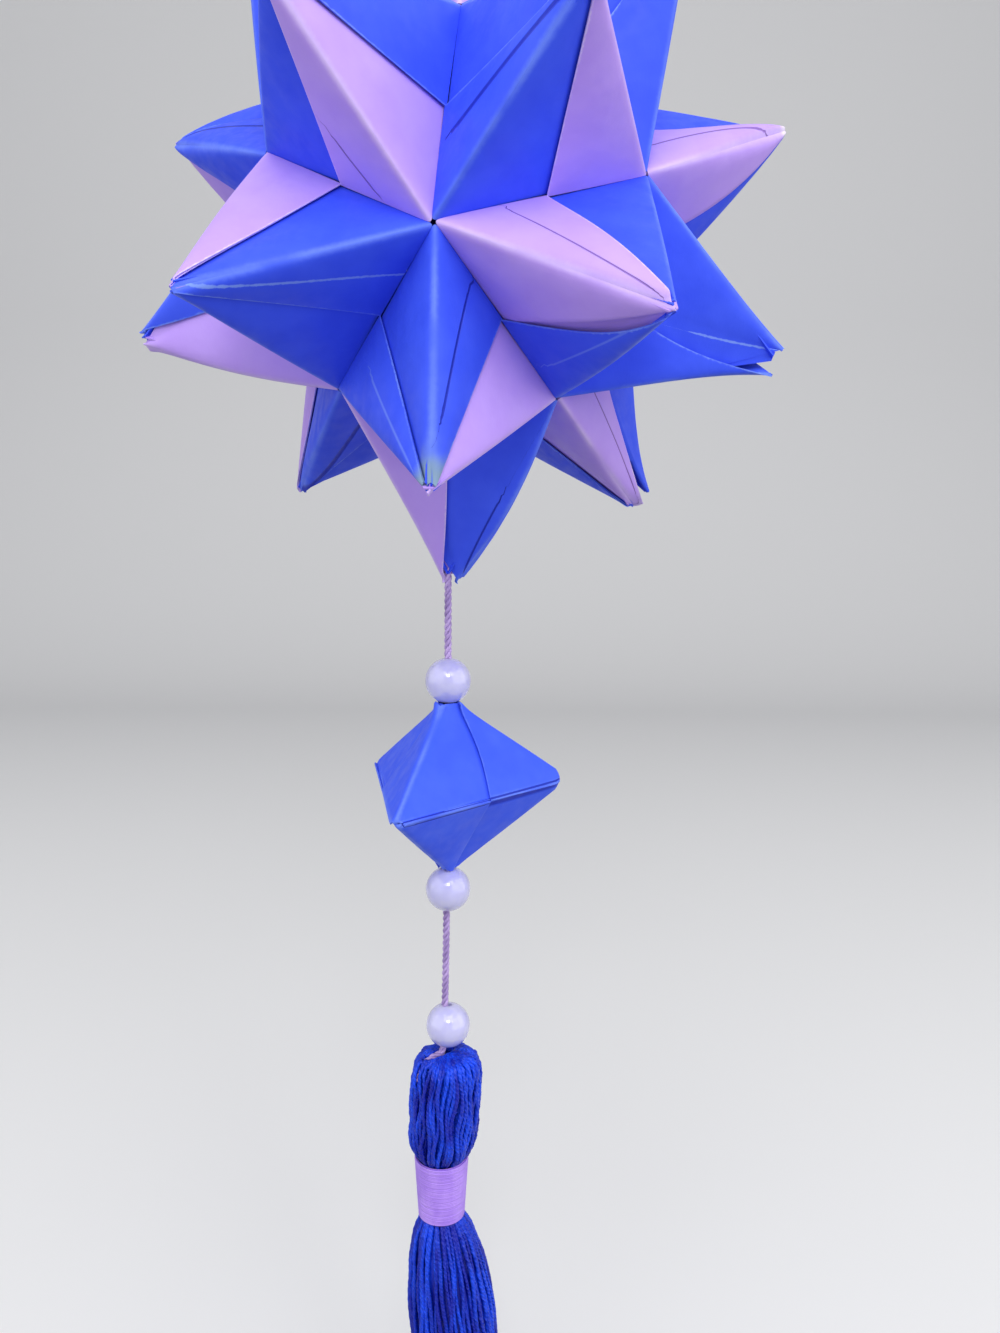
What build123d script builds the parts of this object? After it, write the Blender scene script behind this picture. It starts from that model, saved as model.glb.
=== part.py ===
from build123d import *
import os
from itertools import combinations
from math import cos, pi, radians, sin, sqrt

os.makedirs("parts", exist_ok=True)

# Driving dimensions of the star ball, in millimetres and degrees
star_sheet_size = 90.0     # side of the square sheet that each star unit is folded from
leaf = 0.3                 # one folded leaf of paper, two layers pressed flat
leaf_gap = 0.1             # air between leaves that lie on each other
tab_reach = 8.0            # how far a tab reaches into its neighbour's pocket
corner_trim = 1.3          # worn away from each leaf where five units meet
pocket_tip_trim = 1.7      # a pocket's lip stops this far short of the sharp tip
ridge_tip_trim = 0.7       # a ridge stops this far short of it
back_tip_trim = 1.2        # a pocket's back stops this far short of it
ball_turn = -3.9           # turn of the ball about the upright, seen from above
ball_lean = 2.6            # lean of the ball towards +X about its lower tip

# Driving dimensions of the pendant jewel under the ball
jewel_sheet_size = 85.0    # side of the square sheet of each jewel unit
jewel_turn = 10.9          # bearing of the jewel's right corner
jewel_end_trim = 1.6       # blunt ends, held open by the beads
jewel_corner_trim = 1.7
jewel_tab_reach = 10.0

# Beads, cord and tassel
bead_diameter = 8.5
bore_clearance = 0.06      # between the cord and a bead's bore
paper_bore_clearance = 0.25
cord_diameter = 1.4
knot_diameter = 4.4
head_radius = 6.95
skirt_radius = 9.3
strand_lobes = 14
groove_share = 0.11        # depth of the grooves between strands, of the bundle's radius
tassel_groove_clearance = 0.1
band_length = 12.4
band_top_radius = 5.35
band_bottom_radius = 4.6
band_wall = 0.55
band_gap = 0.1
neck_shift = -1.3          # the bound neck hangs this far to the left of the cord

# Levels along the cord: the loop bears at zero, and these lie below it
ball_tip_level = -161.5    # sharp lower tip of the ball
jewel_drop = 38.0          # from that tip down to the jewel's middle
lower_bead_drop = 47.45    # from the jewel's middle down to the lowest bead
head_gap = 0.9             # between the lowest bead and the floss, where the cord bends
head_length = 22.0
skirt_length = 57.0
knot_level = -34.5
stop_knot_level = -64.0

# The cord's route, from its end in the tassel up to the loop and back to the knot
cord_route = [
    (-5.9, -3.0, -257.3), (-5.0, -2.5, -254.2), (-2.5, -1.25, -252.7), (0.0, 0.0, -252.4),
    (0.0, 0.0, -37.0), (1.1, 0.0, -30.5), (3.7, 0.2, -19.5), (4.9, 0.1, -10.2),
    (5.07, 0.0, -2.27), (2.1, 0.0, 0.7), (-2.1, 0.0, 0.7), (-5.07, 0.0, -2.27),
    (-5.0, 0.1, -9.6), (-4.1, 0.2, -19.0), (-1.5, 0.1, -29.5), (-0.7, 0.0, -34.3),
]

golden_ratio = (1 + sqrt(5)) / 2
star_edge = star_sheet_size * (1 - 1 / sqrt(3))
tip_radius = star_edge * (golden_ratio**2 / (2 * sqrt(3)) + sqrt(2 / 3))
jewel_leg = jewel_sheet_size / (2 * sqrt(2))
bead_radius = bead_diameter / 2
middle = Vector(0, 0, 0)


def inward_normal(a, b, c, inside):
    """Unit normal of the plane through three points, towards a fourth one."""
    normal = (b - a).cross(c - a).normalized()
    return normal if normal.dot(inside - a) > 0 else -normal


def leaf_between(sides, size):
    """The convex solid on the inner side of each (point, inward normal, offset)."""
    solid = Solid.make_box(size, size, size, Plane((-size / 2, -size / 2, -size / 2)))
    for point, normal, offset in sides:
        cut = Plane(origin=point + normal * offset, z_dir=normal)
        solid = solid.split(cut, keep=Keep.TOP)
    return solid


def layer(point, normal, outer, inner):
    """Two sides that bound a layer between two depths below a face."""
    return [(point, normal, outer), (point + normal * inner, -normal, 0)]


def half_unit(near, far, tip, third, trims, reach):
    """The half of a folded unit that wraps the ridge from the near base corner to a tip.

    The unit lies along the base edge from near to far. The pyramid that it helps to
    cover stands on near, far and third. Its lip covers half of the front face, its
    wing the next half face round the ridge, with the tab that goes on into the
    neighbour's pocket, and its back lies under the whole front face.
    """
    front = inward_normal(near, far, tip, third)
    side = inward_normal(near, third, tip, far)
    rear = inward_normal(far, third, tip, near)
    base_front = inward_normal(near, far, middle, tip)
    base_side = inward_normal(near, third, middle, tip)
    axis = ((near + far + third) * (1 / 3) - tip).normalized()
    front_foot = (near + far) * 0.5
    side_foot = (near + third) * 0.5
    to_near = (near - far).normalized()
    to_ridge = (near - third).normalized()
    size = (near - far).length * 4
    step = leaf + leaf_gap
    lip = layer(near, front, 0, leaf) + [
        (near, side, step),
        (near, base_front, leaf_gap / 2),
        (near, base_side, leaf_gap / 2),
        (front_foot, to_near, 0),
        (near, ((front_foot + tip) * 0.5 - near).normalized(), trims["corner"]),
        (tip, axis, trims["lip"]),
    ]
    wing = layer(near, side, step, step + leaf) + [
        (near, front, 0),
        (near, base_side, leaf_gap / 2),
        (near, base_front, leaf_gap / 2),
        (tip, rear, 2 * step),
        (side_foot, to_ridge, -reach),
        (near, ((side_foot + tip) * 0.5 - near).normalized(), trims["corner"]),
        (tip, axis, trims["ridge"]),
    ]
    back = layer(near, front, 2 * step, 2 * step + leaf) + [
        (near, side, step),
        (far, rear, 3 * step),
        (near, base_front, 0),
        (near, ((far + tip) * 0.5 - near).normalized(), trims["corner"]),
        (far, ((near + tip) * 0.5 - far).normalized(), trims["corner"]),
        (tip, axis, trims["back"]),
    ]
    lip_solid, wing_solid, back_solid = (leaf_between(s, size) for s in (lip, wing, back))
    return lip_solid + wing_solid + back_solid


def folded_unit(near, far, tip, third, trims, reach):
    """A whole unit in its own frame: outward is +Z, and its base edge lies along X."""
    half = half_unit(near, far, tip, third, trims, reach)
    return half + half.rotate(Axis.Z, 180)


def unit_place(start, end):
    """Where a unit's own frame lies, for a base edge between two corners."""
    return Location(Plane(origin=(0, 0, 0), x_dir=end - start, z_dir=(start + end) * 0.5))


def star_unit():
    """One unit of the star ball, on an edge of the icosahedron that the spikes stand on."""
    half_edge = star_edge / 2
    height = golden_ratio * half_edge
    near, far = Vector(-half_edge, 0, height), Vector(half_edge, 0, height)
    third = Vector(0, -height, half_edge)
    face_middle = (near + far + third) * (1 / 3)
    tip = face_middle.normalized() * tip_radius
    trims = {"corner": corner_trim, "lip": pocket_tip_trim,
             "ridge": ridge_tip_trim, "back": back_tip_trim}
    return folded_unit(near, far, tip, third, trims, tab_reach)


def star_corners():
    """The icosahedron's twelve corners, standing on one face, named as seen from the front."""
    radius = star_edge * sqrt(golden_ratio * sqrt(5)) / 2
    corner_level = {
        "bottom": -sqrt((5 + 2 * sqrt(5)) / 15),
        "low": -sqrt((5 - 2 * sqrt(5)) / 15),
        "high": sqrt((5 - 2 * sqrt(5)) / 15),
        "top": sqrt((5 + 2 * sqrt(5)) / 15),
    }
    bearings = {
        "bottom": {"left": 210, "right": 330, "back": 90},
        "low": {"front": 270, "right": 30, "left": 150},
        "high": {"left": 210, "right": 330, "back": 90},
        "top": {"front": 270, "right": 30, "left": 150},
    }
    corners = {}
    for ring, facings in bearings.items():
        level = corner_level[ring]
        reach = sqrt(1 - level**2)
        for facing, bearing in facings.items():
            angle = radians(bearing)
            place = Vector(reach * cos(angle), reach * sin(angle), level)
            corners[f"{ring}_{facing}"] = place * radius
    return corners


def ball_place():
    """The ball's frame: its middle, leaning about the lower tip on the cord."""
    tip = Location((0, 0, ball_tip_level))
    lean = Rotation(0, ball_lean, 0)
    return tip * lean * Location((0, 0, tip_radius)) * Rotation(0, 0, ball_turn)


edge_match_share = 1.01    # corners nearer than this many edges are joined by a unit
pink_edges = [
    ("low_front", "high_right"), ("low_front", "high_left"),
    ("bottom_left", "bottom_right"), ("bottom_right", "low_right"),
    ("bottom_left", "low_left"), ("low_left", "top_left"),
    ("high_right", "top_right"), ("top_front", "top_left"),
    ("top_right", "high_back"), ("bottom_back", "high_back"),
]


def star_ball():
    """Thirty units in two papers, with a hole for the cord where it goes through."""
    unit = star_unit()
    place = ball_place()
    corners = star_corners()
    bore_radius = cord_diameter / 2 + paper_bore_clearance
    bore = Pos(0, 0, ball_tip_level + tip_radius) * Cylinder(bore_radius, 3 * tip_radius)
    nodes = {}
    counts = {"pink": 0, "blue": 0}
    for start, end in combinations(corners, 2):
        if (corners[start] - corners[end]).length > star_edge * edge_match_share:
            continue
        pink = (start, end) in pink_edges or (end, start) in pink_edges
        colour = "pink" if pink else "blue"
        counts[colour] += 1
        placed = place * unit_place(corners[start], corners[end]) * unit
        nodes[f"{colour}_star_unit_{counts[colour]:02d}"] = placed - bore
    return nodes


def jewel():
    """Three units closed into a double pyramid with right-angled faces."""
    half_edge = jewel_leg / sqrt(2)
    apex = jewel_leg / sqrt(3)
    corner_radius = jewel_leg * sqrt(2 / 3)
    near = Vector(-half_edge, 0, corner_radius / 2)
    far = Vector(half_edge, 0, corner_radius / 2)
    tip = Vector(0, -apex, 0)
    third = Vector(0, 0, -corner_radius)
    trims = {"corner": jewel_corner_trim, "lip": jewel_end_trim,
             "ridge": jewel_end_trim, "back": jewel_end_trim}
    unit = folded_unit(near, far, tip, third, trims, jewel_tab_reach)
    centre = Location((0, 0, ball_tip_level - jewel_drop))
    bore = Cylinder(cord_diameter / 2 + paper_bore_clearance, 4 * apex)
    nodes = {}
    for index, name in enumerate(["right_front", "right_back", "left"]):
        bearing = radians(jewel_turn - 120 + 120 * index)
        start = Vector(cos(bearing), sin(bearing), 0)
        end = Vector(cos(bearing + 2 * pi / 3), sin(bearing + 2 * pi / 3), 0)
        nodes[f"jewel_unit_{name}"] = centre * (unit_place(start, end) * unit - bore)
    return nodes


def bead(level):
    """A round bead, threaded on the cord."""
    ball = Sphere(bead_radius) - Cylinder(cord_diameter / 2 + bore_clearance, 2 * bead_diameter)
    return Pos(0, 0, level) * ball


def cord():
    """The cord with its hanging loop, the loop's knot and the knot that the ball hangs on."""
    points = [Vector(*p) for p in cord_route]
    corner_radii = []
    for before, corner, after in zip(points, points[1:], points[2:]):
        turn = radians((corner - before).get_angle(after - corner))
        shorter = min((corner - before).length, (after - corner).length)
        corner_radii.append(0.45 * shorter * cos(turn / 2) / sin(turn / 2))
    print("cord radii", [round(r, 1) for r in corner_radii])
    path = FilletPolyline(*points, radius=corner_radii)
    start = Plane(origin=path @ 0, z_dir=path % 0)
    tube = sweep(start * Circle(cord_diameter / 2), path)
    room = sweep(start * Circle(cord_diameter / 2 + tassel_groove_clearance), path)
    print("cord length", path.length, "volume over section times length",
          tube.volume / (pi * (cord_diameter / 2)**2 * path.length))
    loop_knot = Pos(0, 0, knot_level) * Sphere(knot_diameter / 2)
    stop_knot = Pos(0, 0, stop_knot_level) * Sphere(knot_diameter / 2)
    return tube + loop_knot + stop_knot, room


def strand_outline(radius, level, shift):
    """A bundle's section: a ring of round strands."""
    groove = radius * (1 - groove_share)
    step = 2 * pi / strand_lobes
    arcs = []
    for index in range(strand_lobes):
        first, crest, last = (index * step, (index + 0.5) * step, (index + 1) * step)
        arcs.append(ThreePointArc(
            (groove * cos(first), groove * sin(first)),
            (radius * cos(crest), radius * sin(crest)),
            (groove * cos(last), groove * sin(last)),
        ))
    return Pos(shift, 0, level) * make_face(Wire(arcs))


def tassel(head_top, room):
    """The floss bundle: a head bent over the cord, a bound neck and a hanging skirt."""
    neck_radius = band_bottom_radius - band_wall - band_gap
    head_shares = [(0, 0.36), (0.05, 0.72), (0.17, 0.94), (0.38, 1.0), (0.62, 1.0),
                   (0.82, 0.94), (0.95, 0.8)]
    skirt_shares = [(0.05, 0.62), (0.13, 0.78), (0.26, 0.9), (0.6, 0.95), (1, 1)]
    neck_top = head_top - head_length
    neck_bottom = neck_top - band_length
    head = [strand_outline(head_radius * r, head_top - head_length * d, neck_shift * d)
            for d, r in head_shares]
    neck = [strand_outline(neck_radius, level, neck_shift) for level in (neck_top, neck_bottom)]
    skirt = [strand_outline(skirt_radius * r, neck_bottom - skirt_length * d, neck_shift * (1 - 2 * d))
             for d, r in skirt_shares]
    return loft(head + neck + skirt, ruled=True) - room


def band(head_top):
    """The thread band wound round the tassel's neck."""
    top = head_top - head_length
    outer = Cone(band_bottom_radius, band_top_radius, band_length)
    inner = Cylinder(band_bottom_radius - band_wall, 2 * band_length)
    return Pos(neck_shift, 0, top - band_length / 2) * (outer - inner)


jewel_level = ball_tip_level - jewel_drop
bead_seat = jewel_leg / sqrt(3) - jewel_end_trim + bead_radius
lower_bead_level = jewel_level - lower_bead_drop
head_top = lower_bead_level - bead_radius - head_gap
whole_cord, cord_room = cord()

nodes = {**star_ball(), **jewel()}
nodes["bead_above_jewel"] = bead(jewel_level + bead_seat)
nodes["bead_below_jewel"] = bead(jewel_level - bead_seat)
nodes["bead_above_tassel"] = bead(lower_bead_level)
nodes["hanging_cord"] = whole_cord
nodes["tassel_floss"] = tassel(head_top, cord_room)
nodes["tassel_band"] = band(head_top)

for name, shape in nodes.items():
    export_step(shape, f"parts/{name}.step")
print(len(nodes), "nodes")
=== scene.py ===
"""Looks of a kusudama paper ball: folded star units, a paper jewel, beads, cord and tassel.

Everything lies in the part's own frame, in metres. Sizes of paper and thread are given in
millimetres, as a maker would measure them, and turned into metres where meshes are made.
"""

from __future__ import annotations

import logging
import math
from dataclasses import dataclass, field, replace
from enum import Enum
from functools import cached_property
from itertools import combinations

import bpy
import numpy as np
from mathutils import Matrix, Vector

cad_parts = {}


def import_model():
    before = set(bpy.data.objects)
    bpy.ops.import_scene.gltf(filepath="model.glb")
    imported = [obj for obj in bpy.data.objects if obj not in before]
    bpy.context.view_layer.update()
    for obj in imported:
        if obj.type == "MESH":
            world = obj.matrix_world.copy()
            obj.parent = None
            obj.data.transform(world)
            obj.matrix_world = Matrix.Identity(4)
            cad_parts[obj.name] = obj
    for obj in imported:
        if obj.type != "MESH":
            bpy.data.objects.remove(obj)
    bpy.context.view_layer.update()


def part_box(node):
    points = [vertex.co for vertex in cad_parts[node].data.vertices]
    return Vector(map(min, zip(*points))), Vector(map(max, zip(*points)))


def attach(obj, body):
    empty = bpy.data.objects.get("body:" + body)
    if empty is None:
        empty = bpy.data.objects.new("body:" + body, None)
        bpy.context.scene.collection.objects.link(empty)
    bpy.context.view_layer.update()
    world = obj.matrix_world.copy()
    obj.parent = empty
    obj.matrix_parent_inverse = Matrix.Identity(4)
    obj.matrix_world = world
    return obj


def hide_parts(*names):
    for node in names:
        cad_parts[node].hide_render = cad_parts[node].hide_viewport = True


LOG = logging.getLogger("paper_ball")
MILLIMETRE = 0.001
GOLDEN_RATIO = (1 + math.sqrt(5)) / 2
FAR = 9.0  # what a mark says where the thing it measures is not near, in millimetres
Colour = tuple[float, float, float]
Place = tuple[float, float, float]
Span = tuple[float, float]
Stops = tuple[Span, ...]


def unit_vector(vector: np.ndarray) -> np.ndarray:
    """Give each vector along the last axis a length of one."""
    length = np.linalg.norm(vector, axis=-1, keepdims=True)
    return vector / np.maximum(length, 1e-9)


def smooth_curve(stops: Stops, at: np.ndarray) -> np.ndarray:
    """Read a smooth line through measured stops.

    Args:
        stops: Pairs of place and value, in rising order of place.
        at: The places to read.

    Returns:
        The values at those places, eased between the stops.
    """
    places, values = np.array(stops).T
    slopes = np.gradient(values, places)
    index = np.clip(np.searchsorted(places, at) - 1, 0, len(places) - 2)
    step = places[index + 1] - places[index]
    share = np.clip((at - places[index]) / step, 0, 1)
    rise = values[index + 1] - values[index]
    start_slope, end_slope = slopes[index] * step, slopes[index + 1] * step
    bend = share * (1 - share) * ((start_slope - rise) * (1 - share) - (end_slope - rise) * share)
    return values[index] + rise * share + bend


def along_path(path: np.ndarray) -> tuple[np.ndarray, np.ndarray, np.ndarray]:
    """Carry a frame along a path without letting it spin.

    Args:
        path: Points of the path, one row each.

    Returns:
        Distance run at each point, and two unit vectors across the path.
    """
    tangent = unit_vector(np.gradient(path, axis=0))
    steps = np.linalg.norm(np.diff(path, axis=0), axis=1)
    run = np.concatenate([[0.0], np.cumsum(steps)])
    helper = np.array([1.0, 0.0, 0.0]) if abs(tangent[0, 0]) < 0.8 else np.array([0.0, 1.0, 0.0])
    across = np.empty_like(path)
    current = np.cross(tangent[0], helper)
    for row, direction in enumerate(tangent):
        current = current - direction * float(current @ direction)
        current = current / np.linalg.norm(current)
        across[row] = current
    return run, across, np.cross(tangent, across)


def around(
    shift: np.ndarray | float, radius: np.ndarray, angle: np.ndarray, level: np.ndarray
) -> np.ndarray:
    """Points round an upright axis.

    Args:
        shift: How far to the right the axis lies.
        radius: How far each point lies from it.
        angle: Where it lies round it.
        level: How high it lies.

    Returns:
        The points, along one more axis.
    """
    across = shift + radius * np.cos(angle)
    return np.stack([across, radius * np.sin(angle), np.broadcast_to(level, across.shape)], axis=-1)


def linked(name: str, data: bpy.types.ID) -> bpy.types.Object:
    """Make an object and put it into the scene.

    Args:
        name: The object's name.
        data: The mesh, camera or lamp that it shows.

    Returns:
        The new object.
    """
    made = bpy.data.objects.new(name, data)
    bpy.context.scene.collection.objects.link(made)
    return made


def set_up(
    name: str, data: bpy.types.ID, axes: list[np.ndarray | Place], place: Place
) -> bpy.types.Object:
    """Put a camera or a lamp into the scene.

    Args:
        name: The object's name.
        data: Its camera or lamp.
        axes: Where its right, its top and its back face.
        place: Where it stands.

    Returns:
        The new object.
    """
    turn = np.eye(4)
    turn[:3, :3] = np.array(axes).T
    turn[:3, 3] = place
    made = linked(name, data)
    made.matrix_world = Matrix(turn.tolist())
    return made


def drawn(chance: np.random.Generator, spans: dict[str, Span]) -> dict[str, float]:
    """Draw a number for each name, in order, out of the span that it stands for."""
    return {name: float(chance.uniform(*span)) for name, span in spans.items()}


class Maker:
    """Gathers surfaces into one mesh, with named values for the finishes at every point."""

    def __init__(self, marks: tuple[str, ...] = ()) -> None:
        """Start an empty mesh.

        Args:
            marks: Names of the values that its points carry.
        """
        self.mark_names = marks
        self.points: list[np.ndarray] = []
        self.marks: dict[str, list[np.ndarray]] = {name: [] for name in marks}
        self.faces: list[tuple[int, ...]] = []
        self.count = 0

    def patch(
        self,
        grid: np.ndarray,
        values: dict[str, np.ndarray] | None = None,
        closed: bool = False,
        flip: bool = False,
    ) -> None:
        """Add a grid of points as one smooth surface.

        Args:
            grid: Points in rows and columns.
            values: A value of each point for each named mark.
            closed: Whether the last column joins the first.
            flip: Whether the surface faces the other way.
        """
        rows, columns = grid.shape[:2]
        index = self.count + np.arange(rows * columns).reshape(rows, columns)
        if closed:
            index = np.concatenate([index, index[:, :1]], axis=1)
        corners = [index[:-1, :-1], index[1:, :-1], index[1:, 1:], index[:-1, 1:]]
        quads = np.stack([corner.ravel() for corner in corners], axis=1)
        self.faces += [tuple(q) for q in (quads[:, ::-1] if flip else quads).tolist()]
        self.points.append(grid.reshape(-1, 3))
        self.count += rows * columns
        for name in self.mark_names:
            value = (values or {}).get(name, FAR)
            self.marks[name].append(np.broadcast_to(value, (rows, columns)).ravel())

    def cap(self, ring: np.ndarray, values: dict[str, float] | None = None) -> None:
        """Close a ring of points with one flat face.

        Args:
            ring: The points, in the order in which they go round the face seen from outside.
            values: The value of all of them for each named mark.
        """
        self.faces.append(tuple(range(self.count, self.count + len(ring))))
        self.points.append(ring)
        self.count += len(ring)
        for name in self.mark_names:
            self.marks[name].append(np.full(len(ring), (values or {}).get(name, FAR)))

    def sheet(self, grid: np.ndarray, thick: float, values: dict[str, np.ndarray]) -> None:
        """Add a thin sheet with crisp edges.

        Args:
            grid: Points of its outer side, with rows and columns that face outwards.
            thick: How thick the sheet is.
            values: A value of each point for each named mark.
        """
        cross = np.cross(np.gradient(grid, axis=0), np.gradient(grid, axis=1))
        normal = unit_vector(cross)
        weak = np.linalg.norm(cross, axis=-1) < 1e-12
        normal[weak] = unit_vector(normal[~weak].mean(axis=0))
        inner = grid - normal * thick
        self.patch(grid, values)
        self.patch(inner, values, flip=True)
        rims = [(np.s_[0, :], False), (np.s_[-1, :], True), (np.s_[:, 0], True), (np.s_[:, -1], False)]
        for side, flip in rims:
            strip = np.stack([grid[side], inner[side]])
            edge = {name: np.stack([value[side]] * 2) for name, value in values.items()}
            self.patch(strip, edge, flip=flip)

    def tube(
        self,
        path: np.ndarray,
        radius: float,
        sides: int,
        turns: float = 0.0,
        lobe: float = 0.0,
        start: float = 0.0,
        twist: float = 0.0,
        values: dict[str, np.ndarray] | None = None,
    ) -> None:
        """Add a thread along a path.

        Args:
            path: Points of its middle line.
            radius: Its radius.
            sides: How many sides its section has.
            turns: Turns of its twist in a metre.
            lobe: How far its section is pinched between two plies, as a share.
            start: Angle of its section at the first point.
            twist: Turns in a metre of the two plies that the finish shows.
            values: A value of each point of the path for each named mark.
        """
        run, across, upward = along_path(path)
        angle = np.linspace(0, 2 * np.pi, sides + 1)
        spin = start + run[:, None] * turns * 2 * np.pi + angle
        width = radius * (1 - lobe * np.sin(angle) ** 2)
        outward = np.cos(spin)[..., None] * across[:, None] + np.sin(spin)[..., None] * upward[:, None]
        ring_values = {
            name: np.repeat(np.asarray(value, float)[:, None], sides + 1, axis=1)
            for name, value in (values or {}).items()
        }
        ring_values["twist"] = 2 * angle + run[:, None] * twist * 2 * np.pi
        grid = path[:, None] + outward * width[:, None]
        if not twist:
            grid = grid[:, :-1]
            ring_values = {name: value[:, :-1] for name, value in ring_values.items()}
        self.patch(grid, ring_values, closed=not twist, flip=True)
        for end, order in ((0, np.s_[:sides]), (-1, np.s_[sides - 1 :: -1])):
            self.cap(grid[end, order], {name: float(value[end, 0]) for name, value in ring_values.items()})

    def turned(self, profile: np.ndarray, segments: int) -> None:
        """Add a shape turned about the upright axis.

        Args:
            profile: Pairs of radius and level, from top to bottom.
            segments: How many steps go round it.
        """
        angle = np.linspace(0, 2 * np.pi, segments, endpoint=False)
        self.patch(around(0.0, profile[:, :1], angle, profile[:, 1:]), closed=True)

    def mesh(self, name: str, material: bpy.types.Material) -> bpy.types.Object:
        """Make the gathered surfaces into an object.

        Args:
            name: The object's name.
            material: Its finish.

        Returns:
            The new object.
        """
        mesh = bpy.data.meshes.new(name)
        mesh.from_pydata(np.concatenate(self.points).tolist(), [], self.faces)
        for mark in self.mark_names:
            values = np.concatenate(self.marks[mark]).astype(np.float32)
            mesh.attributes.new(mark, "FLOAT", "POINT").data.foreach_set("value", values)
        mesh.polygons.foreach_set("use_smooth", np.ones(len(mesh.polygons), bool))
        mesh.materials.append(material)
        mesh.update()
        return linked(name, mesh)

    def make(self, name: str, material: bpy.types.Material, slot: str, node: str) -> bpy.types.Object:
        """Make the gathered surfaces into a piece that rides on the part in place of a solid.

        Args:
            name: The piece's name.
            material: Its finish.
            slot: Not used.
            node: The solid's name.

        Returns:
            The new piece.
        """
        piece = self.mesh(name, material)
        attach(piece, "root")
        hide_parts(node)
        return piece


class Nodes:
    """A short way to write the nodes of a material or of a world."""

    def __init__(
        self, owner: bpy.types.Material | bpy.types.World, shader: str = "Principled BSDF"
    ) -> None:
        """Start with the nodes that it comes with.

        Args:
            owner: The material or the world.
            shader: Its main node's name.
        """
        owner.use_nodes = True
        self.owner = owner
        self.tree = owner.node_tree
        self.shader = self.tree.nodes[shader]

    @cached_property
    def place(self) -> bpy.types.NodeSocket:
        """Where each point lies in the part's own frame."""
        return self.tree.nodes.new("ShaderNodeTexCoord").outputs["Object"]

    def settle(self, **sockets: object) -> None:
        """Plug values into the main node, with underscores for the spaces in a socket's name."""
        for name, value in sockets.items():
            self.plug(self.shader.inputs[name.replace("_", " ")], value)

    def plug(self, socket: bpy.types.NodeSocket, value: object) -> None:
        """Link a value into a socket, or set it there when it is a constant.

        Args:
            socket: Where it goes.
            value: Another node's socket, a number or a colour.
        """
        if isinstance(value, bpy.types.NodeSocket):
            self.tree.links.new(value, socket)
        elif isinstance(value, tuple) and len(value) == 3 and socket.type == "RGBA":
            socket.default_value = (*value, 1.0)
        else:
            socket.default_value = value

    def noise(self, scale: float, detail: float = 3.0, stretch: Place = (1, 1, 1)) -> object:
        """Cloudy noise in the part's own frame.

        Args:
            scale: Clouds in a metre.
            detail: How fine it goes.
            stretch: Scale along each axis, for grain.

        Returns:
            The socket of its value.
        """
        mapping = self.tree.nodes.new("ShaderNodeMapping")
        mapping.inputs["Scale"].default_value = stretch
        self.plug(mapping.inputs["Vector"], self.place)
        node = self.tree.nodes.new("ShaderNodeTexNoise")
        self.plug(node.inputs["Vector"], mapping.outputs["Vector"])
        node.inputs["Scale"].default_value = scale
        node.inputs["Detail"].default_value = detail
        return node.outputs["Fac"]

    def mark(self, name: str) -> object:
        """Read a value that the mesh's points carry.

        Args:
            name: The value's name.

        Returns:
            Its socket.
        """
        node = self.tree.nodes.new("ShaderNodeAttribute")
        node.attribute_name = name
        return node.outputs["Fac"]

    def math(self, operation: str, first: object, second: object = 0.0) -> object:
        """Join two values.

        Args:
            operation: The name of a sum, a product or the like.
            first: The first value.
            second: The second one, where the operation takes two.

        Returns:
            The socket of the result.
        """
        node = self.tree.nodes.new("ShaderNodeMath")
        node.operation = operation
        self.plug(node.inputs[0], first)
        self.plug(node.inputs[1], second)
        return node.outputs[0]

    def span(self, value: object, low: float, high: float, start: float, end: float) -> object:
        """Map a span of values to another one, smoothly and clamped.

        Args:
            value: The value to map.
            low: Where its span begins.
            high: Where its span ends.
            start: The result at the beginning.
            end: The result at the end.

        Returns:
            The socket of the result.
        """
        node = self.tree.nodes.new("ShaderNodeMapRange")
        node.interpolation_type = "SMOOTHSTEP"
        self.plug(node.inputs["Value"], value)
        for name, number in zip(("From Min", "From Max", "To Min", "To Max"), (low, high, start, end)):
            node.inputs[name].default_value = number
        return node.outputs["Result"]

    def blend(self, share: object, first: object, second: object) -> object:
        """Mix two colours.

        Args:
            share: Share of the second one.
            first: The first colour.
            second: The second colour.

        Returns:
            The socket of the mixed colour.
        """
        node = self.tree.nodes.new("ShaderNodeMix")
        node.data_type = "RGBA"
        for socket, value in (("Factor", share), (6, first), (7, second)):
            self.plug(node.inputs[socket], value)
        return node.outputs[2]

    def bump(self, height: object, distance: float, strength: float, under: object = None) -> object:
        """Raise the surface by a height.

        Args:
            height: The height's socket.
            distance: Metres for a height of one.
            strength: How much of it shows.
            under: An earlier bump that this one lies on.

        Returns:
            The socket of the new normal.
        """
        node = self.tree.nodes.new("ShaderNodeBump")
        node.inputs["Distance"].default_value = distance
        node.inputs["Strength"].default_value = strength
        self.plug(node.inputs["Height"], height)
        if under is not None:
            self.plug(node.inputs["Normal"], under)
        return node.outputs["Normal"]

    def seen_by(self, *rays: str) -> object:
        """Tell some kinds of ray from all others.

        Args:
            rays: The kinds, by the names of their sockets.

        Returns:
            The socket of a value that is one for these kinds and zero for others.
        """
        path = self.tree.nodes.new("ShaderNodeLightPath")
        seen = path.outputs[rays[0]]
        for ray in rays[1:]:
            seen = self.math("MAXIMUM", seen, path.outputs[ray])
        return seen


class Press(Enum):
    """How an old crease in the paper looks now, or a line of painted shade where a gap or a layer's edge
    would throw shadow. Each value is the mark that tells its distance.
    """

    WORN = "worn_mm"
    FAINT = "faint_mm"
    # Painted shade: a dark line where a gap or a layer's edge would throw shadow.
    DARK = "painted_shade_slit_mm"


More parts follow.
